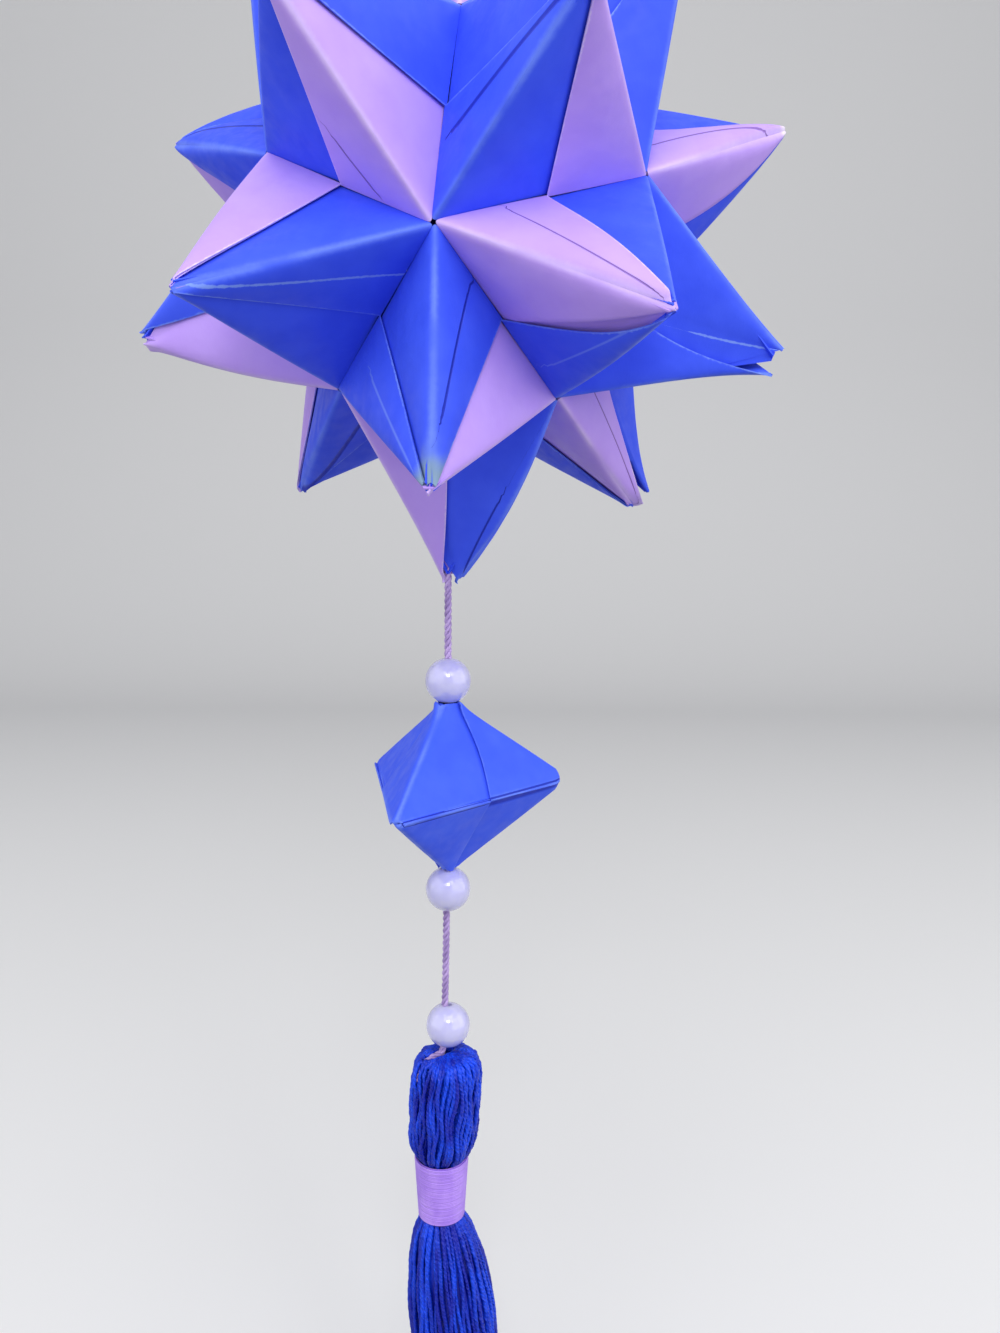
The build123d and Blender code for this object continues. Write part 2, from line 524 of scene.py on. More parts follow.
@dataclass(frozen=True)
class Finish:
    """What one surface looks like, and the record's slot that it stands for."""

    name: str
    slot: str

    def material(self) -> bpy.types.Material:
        """Make the finish's material.

        Returns:
            The material with all its nodes.
        """
        nodes = Nodes(bpy.data.materials.new(self.name))
        self.dress(nodes)
        return nodes.owner

    def dress(self, nodes: Nodes) -> None:
        """Add the nodes of the finish, which each kind of finish does in its own way."""
        raise NotImplementedError


@dataclass(frozen=True)
class PaperFinish(Finish):
    """Dyed folding paper: mottled and fibrous, paler where folds and edges are scuffed, with a soft painted
    highlight along its ridges and dark lines of painted shade where gaps and layers' edges would throw
    shadow.
    """

    sheet: Colour
    deep: Colour
    # The pale colour of scuffed paper, which also paints the soft highlight along the ridges.
    worn_and_highlight: Colour
    bare: Colour
    shade: Colour
    roughness: float = 0.5
    edge_strength: float = 0.75

    @staticmethod
    def apart(nodes: Nodes, press: Press) -> object:
        """Distance from the crease of one kind."""
        return nodes.math("ABSOLUTE", nodes.mark(press.value))

    def wear_and_highlight(self, nodes: Nodes, patchy: object) -> object:
        """How pale the paper is at folds, edges and old creases: real scuffing there, and along each ridge a
        soft painted highlight as well.

        Args:
            nodes: The nodes to add to.
            patchy: Noise that breaks the wear up.

        Returns:
            The socket of its share.
        """
        ragged = nodes.math("MULTIPLY", nodes.noise(1500, 2), 0.55)
        # Painted highlight: a soft pale band along each ridge, over the real scuffing of the fold.
        fold = nodes.span(nodes.math("ADD", nodes.mark("fold_mm"), ragged), 0.2, 1.5, 0.42, 0)
        edge = nodes.math("ADD", nodes.mark("edge_mm"), ragged)
        edge = nodes.span(edge, 0.25, 0.6, self.edge_strength, 0)
        wear_and_highlight = nodes.math("MAXIMUM", fold, edge)
        wear_and_highlight = nodes.math("MULTIPLY", wear_and_highlight, nodes.span(patchy, 0.3, 0.62, 0.35, 1))
        crease = nodes.math("ADD", self.apart(nodes, Press.WORN), nodes.math("MULTIPLY", ragged, 0.8))
        wear_and_highlight = nodes.math("MAXIMUM", wear_and_highlight, nodes.span(crease, 0.3, 0.55, 0.85, 0))
        faint = nodes.span(self.apart(nodes, Press.FAINT), 0.05, 0.28, 0.4, 0)
        return nodes.math("MAXIMUM", wear_and_highlight, faint)

    def dress(self, nodes: Nodes) -> None:
        """Build the paper's nodes.

        Args:
            nodes: The nodes to add to.
        """
        patchy = nodes.noise(120, 2)
        # Painted shade: along gaps and under layers' edges the paper is painted in the shade colour.
        slit_shade = nodes.span(self.apart(nodes, Press.DARK), 0.08, 0.3, 1, 0)
        body = nodes.blend(nodes.span(nodes.noise(170, 4), 0.3, 0.7, 0, 1), self.deep, self.sheet)
        body = nodes.blend(self.wear_and_highlight(nodes, patchy), body, self.worn_and_highlight)
        scuff = nodes.math("ADD", nodes.mark("rub_share"), nodes.span(patchy, 0.3, 0.7, -0.2, 0.15))
        body = nodes.blend(nodes.span(scuff, 0.2, 0.75, 0, 0.85), body, self.bare)
        soft = nodes.bump(nodes.noise(150, 2), 0.0009, 0.35)
        groove = nodes.bump(nodes.math("SUBTRACT", 1.0, slit_shade), 0.0003, 0.8, soft)
        nodes.settle(
            Base_Color=nodes.blend(nodes.math("MULTIPLY", slit_shade, 0.9), body, self.shade),
            Roughness=nodes.span(nodes.noise(420), 0.3, 0.7, self.roughness - 0.07, self.roughness + 0.1),
            Normal=nodes.bump(nodes.noise(2600, 3, (1, 1, 0.45)), 0.00005, 0.35, groove),
            IOR=1.45,
            Specular_IOR_Level=0.22,
        )


@dataclass(frozen=True)
class BeadFinish(Finish):
    """Milky glass: glossy, cloudy inside, and a little see-through."""

    milk: Colour
    glow: Colour

    def dress(self, nodes: Nodes) -> None:
        """Build the bead's nodes.

        Args:
            nodes: The nodes to add to.
        """
        cloud = nodes.span(nodes.noise(260), 0.3, 0.7, 0, 1)
        nodes.settle(
            Base_Color=nodes.blend(cloud, self.milk, self.glow),
            Roughness=nodes.span(nodes.noise(900, 2), 0.35, 0.65, 0.06, 0.11),
            Normal=nodes.bump(nodes.noise(700, 1), 0.00004, 0.25),
            Subsurface_Weight=0.55,
            Subsurface_Scale=0.0022,
            IOR=1.5,
            Coat_Weight=1.0,
            Coat_Roughness=0.05,
            Transmission_Weight=0.12,
            Subsurface_Radius=(0.8, 0.8, 1.0),
        )


@dataclass(frozen=True)
class ThreadFinish(Finish):
    """Spun thread: soft sheen and a fine slanting grain, with painted shade in the hollows between the fibres
    and between its two plies.
    """

    light: Colour
    dark: Colour
    sheen: float
    roughness: float
    grain: float = 3200.0
    # Depth sets the fibres' bump and how much painted shade lies between them.
    depth: float = 0.55
    shine: float = 0.5

    def dress(self, nodes: Nodes) -> None:
        """Build the thread's nodes.

        Args:
            nodes: The nodes to add to.
        """
        cloud = nodes.span(nodes.noise(330, 4, (1, 1, 0.3)), 0.32, 0.68, 0, 1)
        shade = nodes.math("ADD", cloud, nodes.span(nodes.mark("tone"), 0, 1, -0.35, 0.35))
        body = nodes.blend(shade, self.dark, self.light)
        fibre = nodes.noise(self.grain, 3, (1, 1, 0.35))
        ply = nodes.math("SINE", nodes.mark("twist"))
        # Painted shade: the hollows between the fibres and between the two plies are painted in the dark
        # colour.
        crevice_shade = nodes.span(fibre, 0.3, 0.6, self.depth, 0)
        crevice_shade = nodes.math("MAXIMUM", crevice_shade, nodes.span(ply, -1.0, -0.1, 0.4, 0))
        nodes.settle(
            Base_Color=nodes.blend(crevice_shade, body, self.dark),
            Roughness=nodes.span(nodes.noise(800, 2), 0.3, 0.7, self.roughness - 0.08, self.roughness + 0.08),
            Normal=nodes.bump(fibre, 0.00012, self.depth, nodes.bump(ply, 0.00006, 0.7)),
            Sheen_Weight=self.sheen,
            Sheen_Roughness=0.4,
            Sheen_Tint=self.light,
            IOR=1.5,
            Specular_IOR_Level=self.shine,
        )


PINK_PAPER = PaperFinish(
    name="lilac_pink_paper",
    slot="pink_paper",
    sheet=(0.57, 0.38, 0.97),
    deep=(0.54, 0.35, 0.95),
    worn_and_highlight=(0.84, 0.72, 0.98),
    bare=(0.86, 0.78, 0.95),
    shade=(0.25, 0.13, 0.5),
)
BLUE_PAPER = PaperFinish(
    name="bright_blue_paper",
    slot="blue_paper",
    sheet=(0.055, 0.115, 0.95),
    deep=(0.045, 0.098, 0.91),
    worn_and_highlight=(0.24, 0.38, 0.96),
    bare=(0.24, 0.36, 0.4),
    shade=(0.008, 0.018, 0.42),
)
JEWEL_PAPER = PaperFinish(
    name="jewel_blue_paper",
    slot="jewel_paper",
    sheet=(0.058, 0.13, 0.95),
    deep=(0.048, 0.112, 0.92),
    worn_and_highlight=(0.26, 0.4, 0.97),
    bare=(0.4, 0.56, 0.7),
    shade=(0.01, 0.025, 0.5),
    edge_strength=0.3,
)
MILKY_BEAD = BeadFinish("milky_lilac_bead", "bead", (0.58, 0.57, 0.97), (0.65, 0.64, 0.98))
LILAC_CORD = ThreadFinish(
    "lilac_twisted_cord", "cord", (0.66, 0.49, 0.9), (0.36, 0.25, 0.56), 0.35, 0.7
)
ROYAL_FLOSS = ThreadFinish(
    "royal_blue_floss",
    "floss",
    light=(0.01, 0.085, 0.95),
    dark=(0.003, 0.012, 0.38),
    sheen=0.05,
    roughness=0.36,
    grain=4200.0,
    depth=0.5,
    shine=0.3,
)
BAND_THREAD = ThreadFinish(
    "lilac_band_thread",
    "band_thread",
    light=(0.5, 0.3, 0.93),
    dark=(0.4, 0.22, 0.85),
    sheen=0.15,
    roughness=0.4,
    grain=5200.0,
    depth=0.25,
)


@dataclass(frozen=True)
class Crease:
    """A line across a face, from one place to another.

    A place is a share of the way along the base edge, then a share of the way from there
    up to the tip. Curve is how far its middle strays to one side, in millimetres.
    """

    start: tuple[float, float]
    end: tuple[float, float]
    press: Press = Press.WORN
    width: float = 1.0
    on_wing: bool = False
    curve: float = 0.0


@dataclass(frozen=True)
class Fold:
    """How one half of a unit came out of the maker's hands, in millimetres.

    The lip is the flap on top, over the neighbour's tab. Lift raises its free edge near the
    tip and base lift at the base, fan parts its two layers, belly rounds that edge and retreat
    draws it in. Puff and bow round its face and its ridge, and wing droop lets the wing sag.
    The trims cut the lip's and the ridge's ends short of the tip. Splay moves its sharp end to
    the right and up, away from its neighbours', tab room keeps its tab short there, and rub
    wears that end.
    """

    lift: float = 0.25
    fan: float = 0.12
    puff: float = 0.35
    bow: float = 0.25
    belly: float = 0.0
    retreat: float = 0.0
    base_lift: float = 0.05
    wing_droop: float = 0.0
    tab_room: float = 0.8
    lip_trim: float = 1.6
    ridge_trim: float = 0.7
    splay: tuple[float, float] = (0.0, 0.0)
    rub: float = 0.0
    creases: tuple[Crease, ...] = ()


@dataclass
class SpikeFace:
    """The face of a spike that a lip lies on, with the next face round its ridge.

    All corners are in millimetres in the part's frame.
    """

    near: np.ndarray
    far: np.ndarray
    third: np.ndarray
    tip: np.ndarray

    def __post_init__(self) -> None:
        """Work out the directions that the folds need."""
        inside = (self.near + self.far + self.third + self.tip) / 4
        self.front_out = self.outward(self.near, self.far, inside)
        self.side_out = self.outward(self.near, self.third, inside)
        self.foot = (self.near + self.far) / 2
        self.side_foot = (self.near + self.third) / 2
        base = (self.near + self.far + self.third) / 3
        self.axis = unit_vector(base - self.tip)
        self.height = float(np.linalg.norm(base - self.tip))

    def outward(self, first: np.ndarray, second: np.ndarray, inside: np.ndarray) -> np.ndarray:
        """Outward direction of the face through two base corners and the tip.

        Args:
            first: One of the corners.
            second: The other one.
            inside: A point inside the spike.

        Returns:
            A unit vector.
        """
        normal = unit_vector(np.cross(second - first, self.tip - first))
        return normal if normal @ (first - inside) > 0 else -normal

    def towards_tip(self, foot: np.ndarray, share: np.ndarray | float) -> np.ndarray:
        """Points at a share of the way from a foot on the base to the tip."""
        return foot + (self.tip - foot) * share

    def ridge_offset(self, front_depth: float, side_depth: float) -> np.ndarray:
        """Where the ridge lies when its two faces lie below the outer planes.

        Args:
            front_depth: Depth of the lip below the front face.
            side_depth: Depth of the wing below the side face.

        Returns:
            The shift of the ridge from the sharp one.
        """
        overlap = float(self.front_out @ self.side_out)
        system = np.array([[1, overlap], [overlap, 1]])
        front, side = np.linalg.solve(system, [-front_depth, -side_depth])
        return self.front_out * front + self.side_out * side


@dataclass(frozen=True)
class Panel:
    """One side of a ply while it is still flat, between the ridge and the line at its other end.

    Share is the way to the tip of each row, and across the way from the ridge of each column.
    """

    ridge: np.ndarray
    other: np.ndarray
    share: np.ndarray
    across: np.ndarray

    def flat(self) -> np.ndarray:
        """Its points, in rows and columns."""
        return self.ridge[:, None] + (self.other - self.ridge)[:, None] * self.across[None, :, None]

    def away(self) -> np.ndarray:
        """How far each point lies from the ridge."""
        return self.across * np.linalg.norm(self.other - self.ridge, axis=1)[:, None]

    def swell(self, puff: float) -> np.ndarray:
        """How far each point rises when the middle is puffed out."""
        return 4 * self.across * (1 - self.across) * puff * np.sin(np.pi * self.share) ** 0.7


@dataclass
class PaperFolder:
    """Folds single units out of paper, for the ball and for the jewel alike.

    Lengths are in millimetres. The ply under the outer one follows it at the ply gap, covers the inner wing's
    share of the wing and stands back at its edge. The ends grow pale over the reach of end_wear, and the end
    slant sets each deeper ply back. A crease starts within its lead and fades over its fade, down to the
    weakest strength.
    """

    ply: float = 0.13
    ply_gap: float = 0.02
    inner_wing: float = 0.35
    inner_set_back: float = 0.25
    step: float = 0.4
    tab_reach: float = 8.0
    tab_depth: float = 0.08
    wing_puff: float = 0.8
    corner_trim: float = 0.38
    rounding_reach: float = 1.7
    rounding_depth: float = 0.45
    bow_reach: float = 7.0
    splay_bend: float = 3.5
    crease_lead: float = 1.5
    crease_fade: float = 4.0
    crease_weakest: float = 0.04
    back_trim: float = 1.4
    back_steps: float = 2.2
    back_ply: float = 0.25
    end_wear: float = 1.5
    end_slant: float = 1.5
    row_crowding: float = 1.35
    rows: int = 26
    base_wears: bool = False
    marks: tuple[str, ...] = ("fold_mm", "edge_mm", *(press.value for press in Press), "rub_share")
    ridge_shares: tuple[float, ...] = (0, 0.015, 0.035, 0.065, 0.11, 0.2, 0.34, 0.5, 0.66, 0.82, 0.93, 1)

    def row_shares(self, face: SpikeFace, trim: float) -> np.ndarray:
        """Shares of the way from base to tip, closer together near the tip.

        Args:
            face: The face that the rows cross.
            trim: How far below the tip the last one lies.

        Returns:
            The share of each row.
        """
        last = 1 - trim / face.height
        share = np.linspace(0, 1, self.rows)
        return last * (1 - (1 - share) ** self.row_crowding)

    def half(self, maker: Maker, face: SpikeFace, fold: Fold) -> None:
        """Add one half of a unit: two plies of lip and wing, a tab and the pocket's back.

        Args:
            maker: The mesh that the sheets go into.
            face: Where the half lies.
            fold: How it was folded.
        """
        self.skin(maker, face, fold, 0.0, fold.lift, 1.0, 0.0)
        lower_lift = max(fold.lift - fold.fan, 0)
        depth = self.ply + self.ply_gap
        self.skin(maker, face, fold, depth, lower_lift, self.inner_wing, self.inner_set_back)
        self.back(maker, face, fold)

    def skin(
        self,
        maker: Maker,
        face: SpikeFace,
        fold: Fold,
        depth: float,
        lift: float,
        wing_share: float,
        set_back: float,
    ) -> None:
        """Add one ply that runs from the lip's free edge over the ridge to the tab.

        Args:
            maker: The mesh that the ply goes into.
            face: Where it lies.
            fold: How it was folded.
            depth: How far below the outer ply it lies.
            lift: How far its free edge stands up near the tip.
            wing_share: How much of the wing it covers. A whole one goes on as the tab.
            set_back: How far its edge stands back from the outer ply's.
        """
        share = self.row_shares(face, fold.ridge_trim)[:, None]
        offset = face.ridge_offset(depth, self.step + depth)
        ridge = face.towards_tip(face.near, share) + offset
        altitude = face.towards_tip(face.foot, share) - face.front_out * depth
        altitude = altitude + unit_vector(face.near - face.far) * fold.retreat * np.sin(np.pi * share)
        side = face.towards_tip(face.side_foot, share) - face.side_out * (self.step + depth)
        inset = set_back / max(float(np.linalg.norm(face.foot - face.near)), 1e-6)
        lip_shares = np.array(self.ridge_shares[::-1]) * (1 - inset)
        wing_shares = np.array(self.ridge_shares[1:]) * wing_share
        half_width = np.linalg.norm(altitude - ridge, axis=1)[:, None]
        lip = self.lip_points(face, fold, Panel(ridge, altitude, share, lip_shares), lift)
        wing = self.wing_points(face, fold, Panel(ridge, side, share, wing_shares))
        parts = [lip, wing]
        to_ridge = [lip_shares * half_width, wing_shares * half_width]
        to_edge = [(1 - lip_shares) * half_width, np.full(wing.shape[:2], FAR)]
        if wing_share == 1.0:
            tab, beyond = self.tab_points(face, fold, side, share)
            parts.append(tab)
            to_ridge.append(half_width + beyond)
            to_edge.append(np.full(tab.shape[:2], FAR))
        grid = np.concatenate(parts, axis=1)
        fold_mm = np.concatenate(to_ridge, axis=1)
        edge_mm = np.concatenate(to_edge, axis=1)
        grid = self.trimmed(grid, face, fold, lip.shape[1] - 1, depth)
        if self.base_wears:
            rows_up = np.broadcast_to(share * float(np.linalg.norm(face.tip - face.foot)), fold_mm.shape)
            fold_mm = np.minimum(fold_mm, rows_up)
        end_mm = np.linalg.norm(grid - face.tip, axis=-1) - fold.ridge_trim
        values = {
            "fold_mm": fold_mm,
            "edge_mm": np.minimum(edge_mm, end_mm / self.end_wear),
            "rub_share": np.clip(1 - end_mm / max(fold.rub, 0.01), 0, 1),
        }
        for press in Press:
            values[press.value] = self.crease_distance(grid, face, fold, press, lip.shape[1])
        rise = np.clip((face.near - grid) @ face.axis / face.height, 0, 1)[..., None]
        grid = grid + np.array([fold.splay[0], 0, fold.splay[1]]) * rise**self.splay_bend
        maker.sheet(self.bent(grid, face) * MILLIMETRE, self.ply * MILLIMETRE, values)

    def lip_points(self, face: SpikeFace, fold: Fold, panel: Panel, lift: float) -> np.ndarray:
        """Points of the lip, from its free edge to the ridge.

        Args:
            face: Where the lip lies.
            fold: How it was folded.
            panel: The lip while it is flat.
            lift: How far its free edge stands up near the tip.

        Returns:
            The points in rows and columns.
        """
        middle = fold.belly * np.sin(np.pi * panel.share) ** 1.2
        open_edge = lift * panel.share**2.5 + fold.base_lift * (1 - panel.share) ** 2 + middle
        raised = panel.swell(fold.puff) + panel.across**2.2 * open_edge
        return panel.flat() + raised[..., None] * face.front_out - self.ridge_drop(face, fold, panel)

    def wing_points(self, face: SpikeFace, fold: Fold, panel: Panel) -> np.ndarray:
        """Points of the wing, from the ridge to the line where the next lip covers it.

        Args:
            face: Where the unit lies.
            fold: How it was folded.
            panel: The wing while it is flat.

        Returns:
            The points in rows and columns.
        """
        sunk = panel.across**3 * (self.tab_depth - fold.wing_droop * np.sin(np.pi * panel.share))
        raised = panel.swell(fold.puff * self.wing_puff) - sunk
        return panel.flat() + raised[..., None] * face.side_out - self.ridge_drop(face, fold, panel)

    def tab_points(
        self, face: SpikeFace, fold: Fold, side: np.ndarray, share: np.ndarray
    ) -> tuple[np.ndarray, np.ndarray]:
        """Points of the tab that goes on under the next lip.

        Args:
            face: Where the unit lies.
            fold: How it was folded.
            side: Points of the line where the wing ends.
            share: Share of the way to the tip of each row.

        Returns:
            The points, and how far each lies beyond that line.
        """
        towards = unit_vector(face.third - face.near)
        width = np.linalg.norm(face.third - face.near) / 2 * (1 - share)
        reach = np.minimum(self.tab_reach, np.maximum(width - fold.tab_room, 0.02))
        beyond = reach * np.array([0.15, 0.5, 1.0])
        sunk = self.tab_depth + 0.02 * beyond
        return side[:, None] + beyond[..., None] * towards - sunk[..., None] * face.side_out, beyond

    def ridge_drop(self, face: SpikeFace, fold: Fold, panel: Panel) -> np.ndarray:
        """How far points near the ridge sink to round it, less its bow.

        Args:
            face: Where the unit lies.
            fold: How it was folded.
            panel: The side of the ridge that they are on.

        Returns:
            A shift for each point, towards the inside.
        """
        away = panel.away()
        rounding = np.maximum(0, 1 - away / self.rounding_reach) ** 2 * self.rounding_depth
        bow = fold.bow * np.sin(np.pi * panel.share) * np.exp(-((away / self.bow_reach) ** 2))
        return (rounding - bow)[..., None] * unit_vector(face.front_out + face.side_out)

    def trimmed(
        self, grid: np.ndarray, face: SpikeFace, fold: Fold, ridge_column: int, depth: float
    ) -> np.ndarray:
        """Cut the corner where units meet, and the lip's end near the tip.

        Args:
            grid: Points of a ply.
            face: Where the unit lies.
            fold: How it was folded.
            ridge_column: The column that runs along the ridge.
            depth: Depth of the ply, which sets its end back a little more.

        Returns:
            The points, with those beyond a cut moved back to it.
        """
        centres = [(face.foot + face.tip) / 2, (face.side_foot + face.tip) / 2]
        columns = [np.s_[:, : ridge_column + 1], np.s_[:, ridge_column + 1 :]]
        for centre, span in zip(centres, columns):
            inward = unit_vector(centre - face.near)
            short = np.maximum(0, self.corner_trim - (grid[span] - face.near) @ inward)
            grid[span] += short[..., None] * inward
        down = unit_vector(face.foot - face.tip)
        slope = float(down @ face.axis)
        reach = (grid[:, : ridge_column + 1] - face.tip) @ face.axis
        fade = np.linspace(1, 0, ridge_column + 1) ** 0.5
        wanted = fold.ridge_trim + (fold.lip_trim + self.end_slant * depth - fold.ridge_trim) * fade
        short = np.maximum(0, wanted - reach) / slope
        grid[:, : ridge_column + 1] += short[..., None] * down
        return grid

    def crease_distance(
        self, grid: np.ndarray, face: SpikeFace, fold: Fold, press: Press, lip_columns: int
    ) -> np.ndarray:
        """Signed distance of each point from the crease of one kind.

        Args:
            grid: Points of a ply.
            face: Where the unit lies.
            fold: How it was folded.
            press: The kind of crease.
            lip_columns: How many columns belong to the lip. The rest are the wing's.

        Returns:
            The distances, large where there is none.
        """
        distance = np.full(grid.shape[:2], FAR)
        for crease in fold.creases:
            if crease.press is not press:
                continue
            other = face.third if crease.on_wing else face.far
            outward = face.side_out if crease.on_wing else face.front_out
            columns = np.s_[:, lip_columns:] if crease.on_wing else np.s_[:, :lip_columns]
            ends = []
            for along, up in (crease.start, crease.end):
                ends.append(face.towards_tip(face.near + (other - face.near) * along, up))
            length = float(np.linalg.norm(ends[1] - ends[0]))
            line = (ends[1] - ends[0]) / length
            reach = grid[columns] - ends[0]
            run = reach @ line
            bend = crease.curve * (1 - (2 * np.clip(run / length, 0, 1) - 1) ** 2)
            aside = reach @ np.cross(outward, line) - bend
            inside = np.minimum(run + self.crease_lead, length - run)
            strength = np.clip(inside / self.crease_fade, self.crease_weakest, 1)
            distance[columns] = aside / (strength * crease.width)
        return distance

    def back(self, maker: Maker, face: SpikeFace, fold: Fold) -> None:
        """Add the pocket's back, which closes the face behind the lip and the tab.

        Args:
            maker: The mesh that it goes into.
            face: The face that it closes.
            fold: How the half was folded.
        """
        share = np.linspace(0, 1 - max(self.back_trim, fold.ridge_trim) / face.height, 10)[:, None]
        left, right = face.towards_tip(face.far, share), face.towards_tip(face.near, share)
        panel = Panel(left, right, share, np.linspace(0.06, 0.94, 8))
        grid = panel.flat() - self.back_steps * self.step * face.front_out
        values = {name: np.full(grid.shape[:2], FAR) for name in self.marks}
        values["rub_share"] = np.zeros(grid.shape[:2])
        maker.sheet(self.bent(grid, face) * MILLIMETRE, self.back_ply * MILLIMETRE, values)

    def bent(self, grid: np.ndarray, face: SpikeFace) -> np.ndarray:
        """Leave the points as they are. The ball bends them as it was handled."""
        return grid


@dataclass
class BallFolder(PaperFolder):
    """Folds the ball's units, and moves its corners and tips to where handling left them."""

    unevenness: float = 0.18
    wave_reach: float = 17.0
    middle: np.ndarray = field(default_factory=lambda: np.zeros(3))
    shifts: dict[tuple[int, ...], tuple[float, float]] = field(default_factory=dict)

    @staticmethod
    def key(point: np.ndarray) -> tuple[int, ...]:
        """A corner's place in whole millimetres, to look its shift up by."""
        return tuple(int(part) for part in np.round(point))

    def bent(self, grid: np.ndarray, face: SpikeFace) -> np.ndarray:
        """Carry a spike's points with its corners and tip, and make the ball a little uneven.

        Args:
            grid: The points.
            face: The spike's face that they belong to.

        Returns:
            The moved points.
        """
        ends = [face.near, face.far, face.third, face.tip]
        spans = np.array([end - face.tip for end in ends[:3]]).T
        shares = (grid - face.tip) @ np.linalg.inv(spans).T
        shares = np.concatenate([shares, 1 - shares.sum(axis=-1, keepdims=True)], axis=-1)
        moved = [self.shifts.get(self.key(end), (0.0, 0.0)) for end in ends]
        shifts = np.array([[right, 0.0, up] for right, up in moved])
        right, back, up = np.moveaxis((grid - self.middle) / self.wave_reach, -1, 0)
        waves = [back * 1.3 + up + 0.4, up * 1.2 - right + 1.9, right * 1.4 + back * 0.7 + 3.1]
        return grid + shares @ shifts + np.sin(np.stack(waves, axis=-1)) * self.unevenness


Handling = dict[tuple[str, str], dict[str, object]]

# Dark creases in these tables are painted shade: lines where a gap or a layer's edge would throw shadow.
BALL_HANDLING: Handling = {
    ("low_front", "bottom_left"): dict(
        puff=0.7, lift=0.9, creases=(Crease((0.26, 0.0), (0.24, 0.97), width=0.95, curve=-0.5),)
    ),
    ("bottom_left", "low_front"): dict(
        lift=0.12, base_lift=0.0, puff=0.9, rub=7.0, ridge_trim=1.8, lip_trim=2.4,
        creases=(Crease((0.3, 0.15), (0.32, 0.88), Press.FAINT, 1.4),)
    ),
    ("low_front", "bottom_right"): dict(
        rub=9.5, puff=0.8, ridge_trim=1.9,
        creases=(Crease((0.27, 0.0), (0.15, 0.75), Press.DARK, 1.0, curve=-0.8),)
    ),
    ("low_front", "high_right"): dict(
        lift=1.1, belly=1.2, puff=1.2, fan=0.55, lip_trim=3.0, ridge_trim=1.0, retreat=-0.6, wing_droop=1.6,
        rub=0.8, creases=(Crease((0.28, 0.0), (0.33, 0.92), Press.DARK, 0.6, curve=-0.8),)
    ),
    ("high_right", "bottom_right"): dict(ridge_trim=2.6, lip_trim=3.0),
    ("bottom_right", "low_front"): dict(
        retreat=2.8, ridge_trim=1.4, lip_trim=1.8, bow=0.8,
        creases=(Crease((0.2, 0.05), (0.3, 0.8), Press.FAINT),)
    ),
    ("low_front", "high_left"): dict(creases=(Crease((0.25, 0.0), (0.46, 0.33), Press.DARK, 0.9),)),
    ("low_front", "top_front"): dict(
        lift=0.8, creases=(Crease((0.31, 0.04), (0.2, 0.95), Press.DARK, 2.4),)
    ),
    ("high_right", "low_right"): dict(
        splay=(1.2, 1.4), lift=0.2, fan=0.0, lip_trim=0.9, ridge_trim=0.9,
        creases=(Crease((0.56, 0.5), (0.52, 0.97), Press.WORN, 0.8, on_wing=True),)
    ),
    ("bottom_right", "high_right"): dict(
        splay=(-0.2, -3.5), lift=0.5, fan=0.3, retreat=3.2, lip_trim=1.4, ridge_trim=1.2
    ),
    ("bottom_left", "bottom_right"): dict(splay=(-1.3, -0.4), lift=0.2, ridge_trim=0.2),
    ("bottom_right", "bottom_back"): dict(
        splay=(1.7, -0.6), ridge_trim=0.2, bow=2.8, puff=1.0,
        creases=(Crease((0.015, 0.45), (0.03, 0.97), Press.DARK, 0.7, on_wing=True),)
    ),
    ("bottom_left", "high_left"): dict(splay=(0.3, -0.9)),
    ("bottom_left", "bottom_back"): dict(
        lift=0.9, belly=1.2, bow=0.8, retreat=2.4,
        creases=(Crease((0.26, 0.0), (0.22, 0.99), Press.DARK, 2.2),)
    ),
    ("high_left", "bottom_left"): dict(splay=(-0.35, 1.3)),
    ("low_right", "bottom_right"): dict(ridge_trim=12.0, lip_trim=12.0),
    ("bottom_left", "low_left"): dict(
        splay=(0.2, -1.1), lift=0.9, bow=1.5, creases=(Crease((0.3, 0.1), (0.4, 0.8), Press.FAINT),)
    ),
    ("low_right", "bottom_back"): dict(
        splay=(4.6, 1.5), ridge_trim=2.6, lip_trim=0.1, fan=0.0, lift=0.1, wing_droop=1.2, tab_room=6.0
    ),
    ("bottom_right", "low_right"): dict(
        lip_trim=0.5, ridge_trim=0.5, belly=0.4, lift=2.4, puff=0.8,
        creases=(Crease((0.3, 0.0), (0.4, 0.9), Press.DARK, 0.7),)
    ),
    ("high_right", "top_right"): dict(
        splay=(0.3, 0.4), bow=0.8, puff=1.6, wing_droop=2.6, rub=2.6,
        creases=(Crease((0.23, 0.0), (0.04, 0.85), Press.DARK, 0.9),)
    ),
    ("low_right", "high_right"): dict(bow=0.8, retreat=1.0, lift=0.0, puff=0.5),
    ("top_left", "high_left"): dict(bow=2.8, puff=0.5, ridge_trim=1.3, lift=0.0, retreat=1.4),
    ("high_left", "low_left"): dict(
        bow=1.6, puff=1.2, ridge_trim=1.0, lift=0.2, wing_droop=1.8,
        creases=(Crease((0.33, 0.05), (0.28, 0.96), Press.DARK, 1.7, on_wing=True),)
    ),
    ("low_left", "top_left"): dict(bow=1.2, lift=0.1),
}

# Dark creases in this table are painted shade: lines where a gap or a layer's edge would throw shadow.
JEWEL_HANDLING: Handling = {
    ("right_front", "upper"): dict(
        lift=0.03, base_lift=0.02, retreat=1.7,
        creases=(Crease((0.0, 0.014), (0.6, 0.018), Press.DARK, 0.8),)
    ),
    ("right_front", "lower"): dict(
        lift=0.12, creases=(Crease((0.04, 0.02), (0.55, 0.022), Press.DARK, 0.8),)
    ),
    ("left", "upper"): dict(creases=(Crease((0.04, 0.022), (0.7, 0.022), Press.DARK, 0.8, on_wing=True),)),
    ("right_back", "lower"): dict(
        creases=(Crease((0.0, 0.03), (0.8, 0.075), Press.DARK, 4.6, on_wing=True),)
    ),
}


